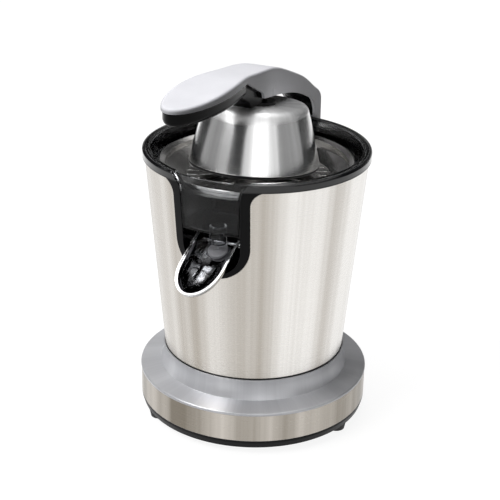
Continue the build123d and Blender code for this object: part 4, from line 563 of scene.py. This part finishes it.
def silver_finish(name, dark, light, worn_and_highlight, roughness, **fixed):
    """Satin silver paint: fine flake, with faint clouds from the spraying, and edges lighter from rubbing
    and as a painted highlight.
    """
    made, tree, shader, place = start_finish(name, **fixed)
    coat = add_node(tree, "ShaderNodeGroup", {"Vector": place}, node_tree=flake_coat)
    weight = add_node(tree, "ShaderNodeMath", {
        0: coat.outputs["Flake"], 1: 0.5, 2: coat.outputs["Cloud"],
    }, operation="MULTIPLY_ADD")
    colour = blend_colours(tree, weight.outputs["Value"], dark, light, 0.45, 1.05)
    tree.links.new(blend_values(tree, coat.outputs["Cloud"], *roughness), shader.inputs["Roughness"])
    finish_edges(tree, shader, colour, coat.outputs["Cloud"], worn_and_highlight, coat.outputs["Flake"], 0.05, 0.0008)
    return made


lever_silver = silver_finish(
    "lever_silver", dark=(0.74, 0.74, 0.78), light=(0.84, 0.84, 0.88), worn_and_highlight=(0.90, 0.90, 0.92),
    roughness=(0.26, 0.38), Specular_IOR_Level=0.12,
)
dress(lever_silver, "lever_shell")


# Dome shell: spun from stainless sheet and brushed as it turned, so that lights draw out into bright bands.
# Its flat crown is brushed coarser than its side, and is screwed to the hub that hangs in the lever.
# Besides those real bands, its colour carries soft painted reflection bands round it.
dome_steel = brushed_finish(
    "dome_steel", dark=(0.62, 0.62, 0.62), light=(0.86, 0.86, 0.86), worn_and_highlight=(0.94, 0.94, 0.94),
    roughness=(0.16, 0.26), bands=3.0, streaks=26.0, lines=900.0, depth=0.08, Metallic=1.0,
    Anisotropic=0.6,
)
dome_tree = dome_steel.node_tree
dome_shader = dome_tree.nodes["Principled BSDF"]
crown_coarser = 0.32
crown_foot, crown_full = 0.284, 0.289
dome_crown = add_node(dome_tree, "ShaderNodeMath", {
    0: dome_shader.inputs["Roughness"].links[0].from_socket,
    1: blend_up(dome_tree, 0.0, crown_coarser, crown_foot, crown_full),
}, operation="ADD")
dome_tree.links.new(dome_crown.outputs["Value"], dome_shader.inputs["Roughness"])
dress(dome_steel, "dome_shell")


# Floor: a plain white sweep under the object, and the white room round it. Seen or mirrored it glows,
# whiter further off, and takes the press's shadow; to all other light it is dim, like the room.
bpy.ops.mesh.primitive_plane_add(size=12.0, location=(0, 0, 0))
floor = bpy.context.object
floor.name = "floor"
floor_paint = bpy.data.materials.new("floor_paint")
floor_paint.use_nodes = True
floor_tree = floor_paint.node_tree
floor_tree.nodes.clear()
floor_path = add_node(floor_tree, "ShaderNodeLightPath")
floor_mirrored = add_node(floor_tree, "ShaderNodeMath", {
    0: floor_path.outputs["Is Glossy Ray"], 1: floor_path.outputs["Is Transmission Ray"],
}, operation="MAXIMUM")
floor_seen = add_node(floor_tree, "ShaderNodeMath", {
    0: floor_path.outputs["Is Camera Ray"], 1: floor_mirrored.outputs["Value"],
}, operation="MAXIMUM")
floor_place = add_node(floor_tree, "ShaderNodeTexCoord")
floor_reach = add_node(floor_tree, "ShaderNodeVectorMath", {
    0: floor_place.outputs["Object"],
}, operation="LENGTH")
floor_level = add_node(floor_tree, "ShaderNodeMapRange", {
    "Value": floor_reach.outputs["Value"],
    "From Min": 0.8, "From Max": 2.4, "To Min": 0.9, "To Max": 1.0,
})
floor_glow = add_node(floor_tree, "ShaderNodeEmission", {
    "Color": (1, 1, 1, 1), "Strength": floor_level.outputs["Result"],
})
floor_lit = add_node(floor_tree, "ShaderNodeBsdfDiffuse", {"Color": (0.2, 0.2, 0.2, 1)})
floor_white = add_node(floor_tree, "ShaderNodeAddShader", {
    0: floor_glow.outputs["Emission"], 1: floor_lit.outputs["BSDF"],
})
floor_plain = add_node(floor_tree, "ShaderNodeBsdfDiffuse", {"Color": (0.06, 0.06, 0.06, 1)})
floor_mix = add_node(floor_tree, "ShaderNodeMixShader", {
    0: floor_seen.outputs["Value"], 1: floor_plain.outputs["BSDF"], 2: floor_white.outputs["Shader"],
})
add_node(floor_tree, "ShaderNodeOutputMaterial", {"Surface": floor_mix.outputs["Shader"]})
floor.data.materials.append(floor_paint)

room = bpy.data.worlds.new("room")
bpy.context.scene.world = room
room.use_nodes = True
room_tree = room.node_tree
room_path = add_node(room_tree, "ShaderNodeLightPath")
room_seen = add_node(room_tree, "ShaderNodeMath", {
    0: room_path.outputs["Is Camera Ray"], 1: room_path.outputs["Is Glossy Ray"],
}, operation="MAXIMUM")
room_seen = add_node(room_tree, "ShaderNodeMath", {
    0: room_seen.outputs["Value"], 1: room_path.outputs["Is Transmission Ray"],
}, operation="MAXIMUM")
room_level = add_node(room_tree, "ShaderNodeMapRange", {
    "Value": room_seen.outputs["Value"], "To Min": 0.04, "To Max": 1.0,
})
room_tree.nodes["Background"].inputs["Color"].default_value = (1, 1, 1, 1)
room_tree.links.new(room_level.outputs["Result"], room_tree.nodes["Background"].inputs["Strength"])


# Cards: dark and grey boards that stand round the press, out of the picture, and only show in its polish.
# They give the steel its dark and bright bands, as boards beside a real set do.
def stand_card(name, start, end, grey, reach=2.2, height=2.4):
    """Stands a curved board round the press, from one bearing to another, in degrees from the front."""
    turn = math.radians(start - 90)
    spot = (reach * math.cos(turn), reach * math.sin(turn), 0)
    bpy.ops.object.select_all(action="DESELECT")
    bpy.ops.mesh.primitive_plane_add(size=1.0, location=spot)
    card = bpy.context.object
    card.name = name
    bpy.ops.object.mode_set(mode="EDIT")
    bpy.ops.mesh.select_all(action="SELECT")
    bpy.ops.mesh.merge(type="CENTER")
    bpy.ops.mesh.extrude_region_move(TRANSFORM_OT_translate={"value": (0, 0, height)})
    bpy.ops.mesh.select_all(action="SELECT")
    bpy.ops.mesh.spin(steps=12, angle=math.radians(start - end), center=(0, 0, 0), axis=(0, 0, 1))
    bpy.ops.object.mode_set(mode="OBJECT")
    bpy.ops.object.transform_apply(location=True)
    paint = bpy.data.materials.new(name + "_paint")
    paint.use_nodes = True
    paint.node_tree.nodes.clear()
    glow = add_node(paint.node_tree, "ShaderNodeEmission", {
        "Color": (grey, grey, grey, 1), "Strength": 1.0,
    })
    add_node(paint.node_tree, "ShaderNodeOutputMaterial", {"Surface": glow.outputs["Emission"]})
    card.data.materials.append(paint)
    card.visible_camera = False
    card.visible_diffuse = False
    card.visible_transmission = False
    card.visible_shadow = False


stand_card("dark_card_left", -22, 4, 0.02)
stand_card("grey_card_left", -84, -22, 0.36)
stand_card("grey_card_right", 70, 122, 0.34)
stand_card("dark_card_rear", 122, 276, 0.04)
stand_card("low_card_rear", 165, 240, 0.34, reach=2.1, height=0.95)


# Lamps: a large soft key from the upper left, a soft light overhead and a weak one from the front right.
def hang_lamp(name, place, aim, size, power):
    """Hangs a square soft lamp and turns it to a point."""
    lamp = bpy.data.lights.new(name, "AREA")
    lamp.size = size
    lamp.energy = power
    made = bpy.data.objects.new(name, lamp)
    bpy.context.scene.collection.objects.link(made)
    made.location = place
    made.rotation_mode = "QUATERNION"
    made.rotation_quaternion = (Vector(aim) - Vector(place)).to_track_quat("-Z", "Y")


hang_lamp("key", (-1.0, -1.2, 1.9), (0, 0, 0.15), 1.2, 31.0)
hang_lamp("top", (-0.4, 0.3, 2.3), (0, 0, 0.2), 1.5, 33.0)
hang_lamp("front", (1.05, -1.5, 0.75), (0, 0, 0.2), 0.9, 1.9)


# Camera: a long lens, a little above the handle, looking down at the front right of the press.
eye = Vector((0.4461, -1.0020, 0.6268))
sight = Vector((-0.37672, 0.83640, -0.39816))
roll = math.radians(1.0)
lens_data = bpy.data.cameras.new("camera")
lens_data.sensor_width = 36.0
lens_data.lens = 94.8
camera = bpy.data.objects.new("camera", lens_data)
bpy.context.scene.collection.objects.link(camera)
camera.location = eye
camera.rotation_mode = "QUATERNION"
camera.rotation_quaternion = sight.to_track_quat("-Z", "Y") @ Quaternion((0, 0, 1), roll)
bpy.context.scene.camera = camera
bpy.context.scene.view_settings.view_transform = "Standard"
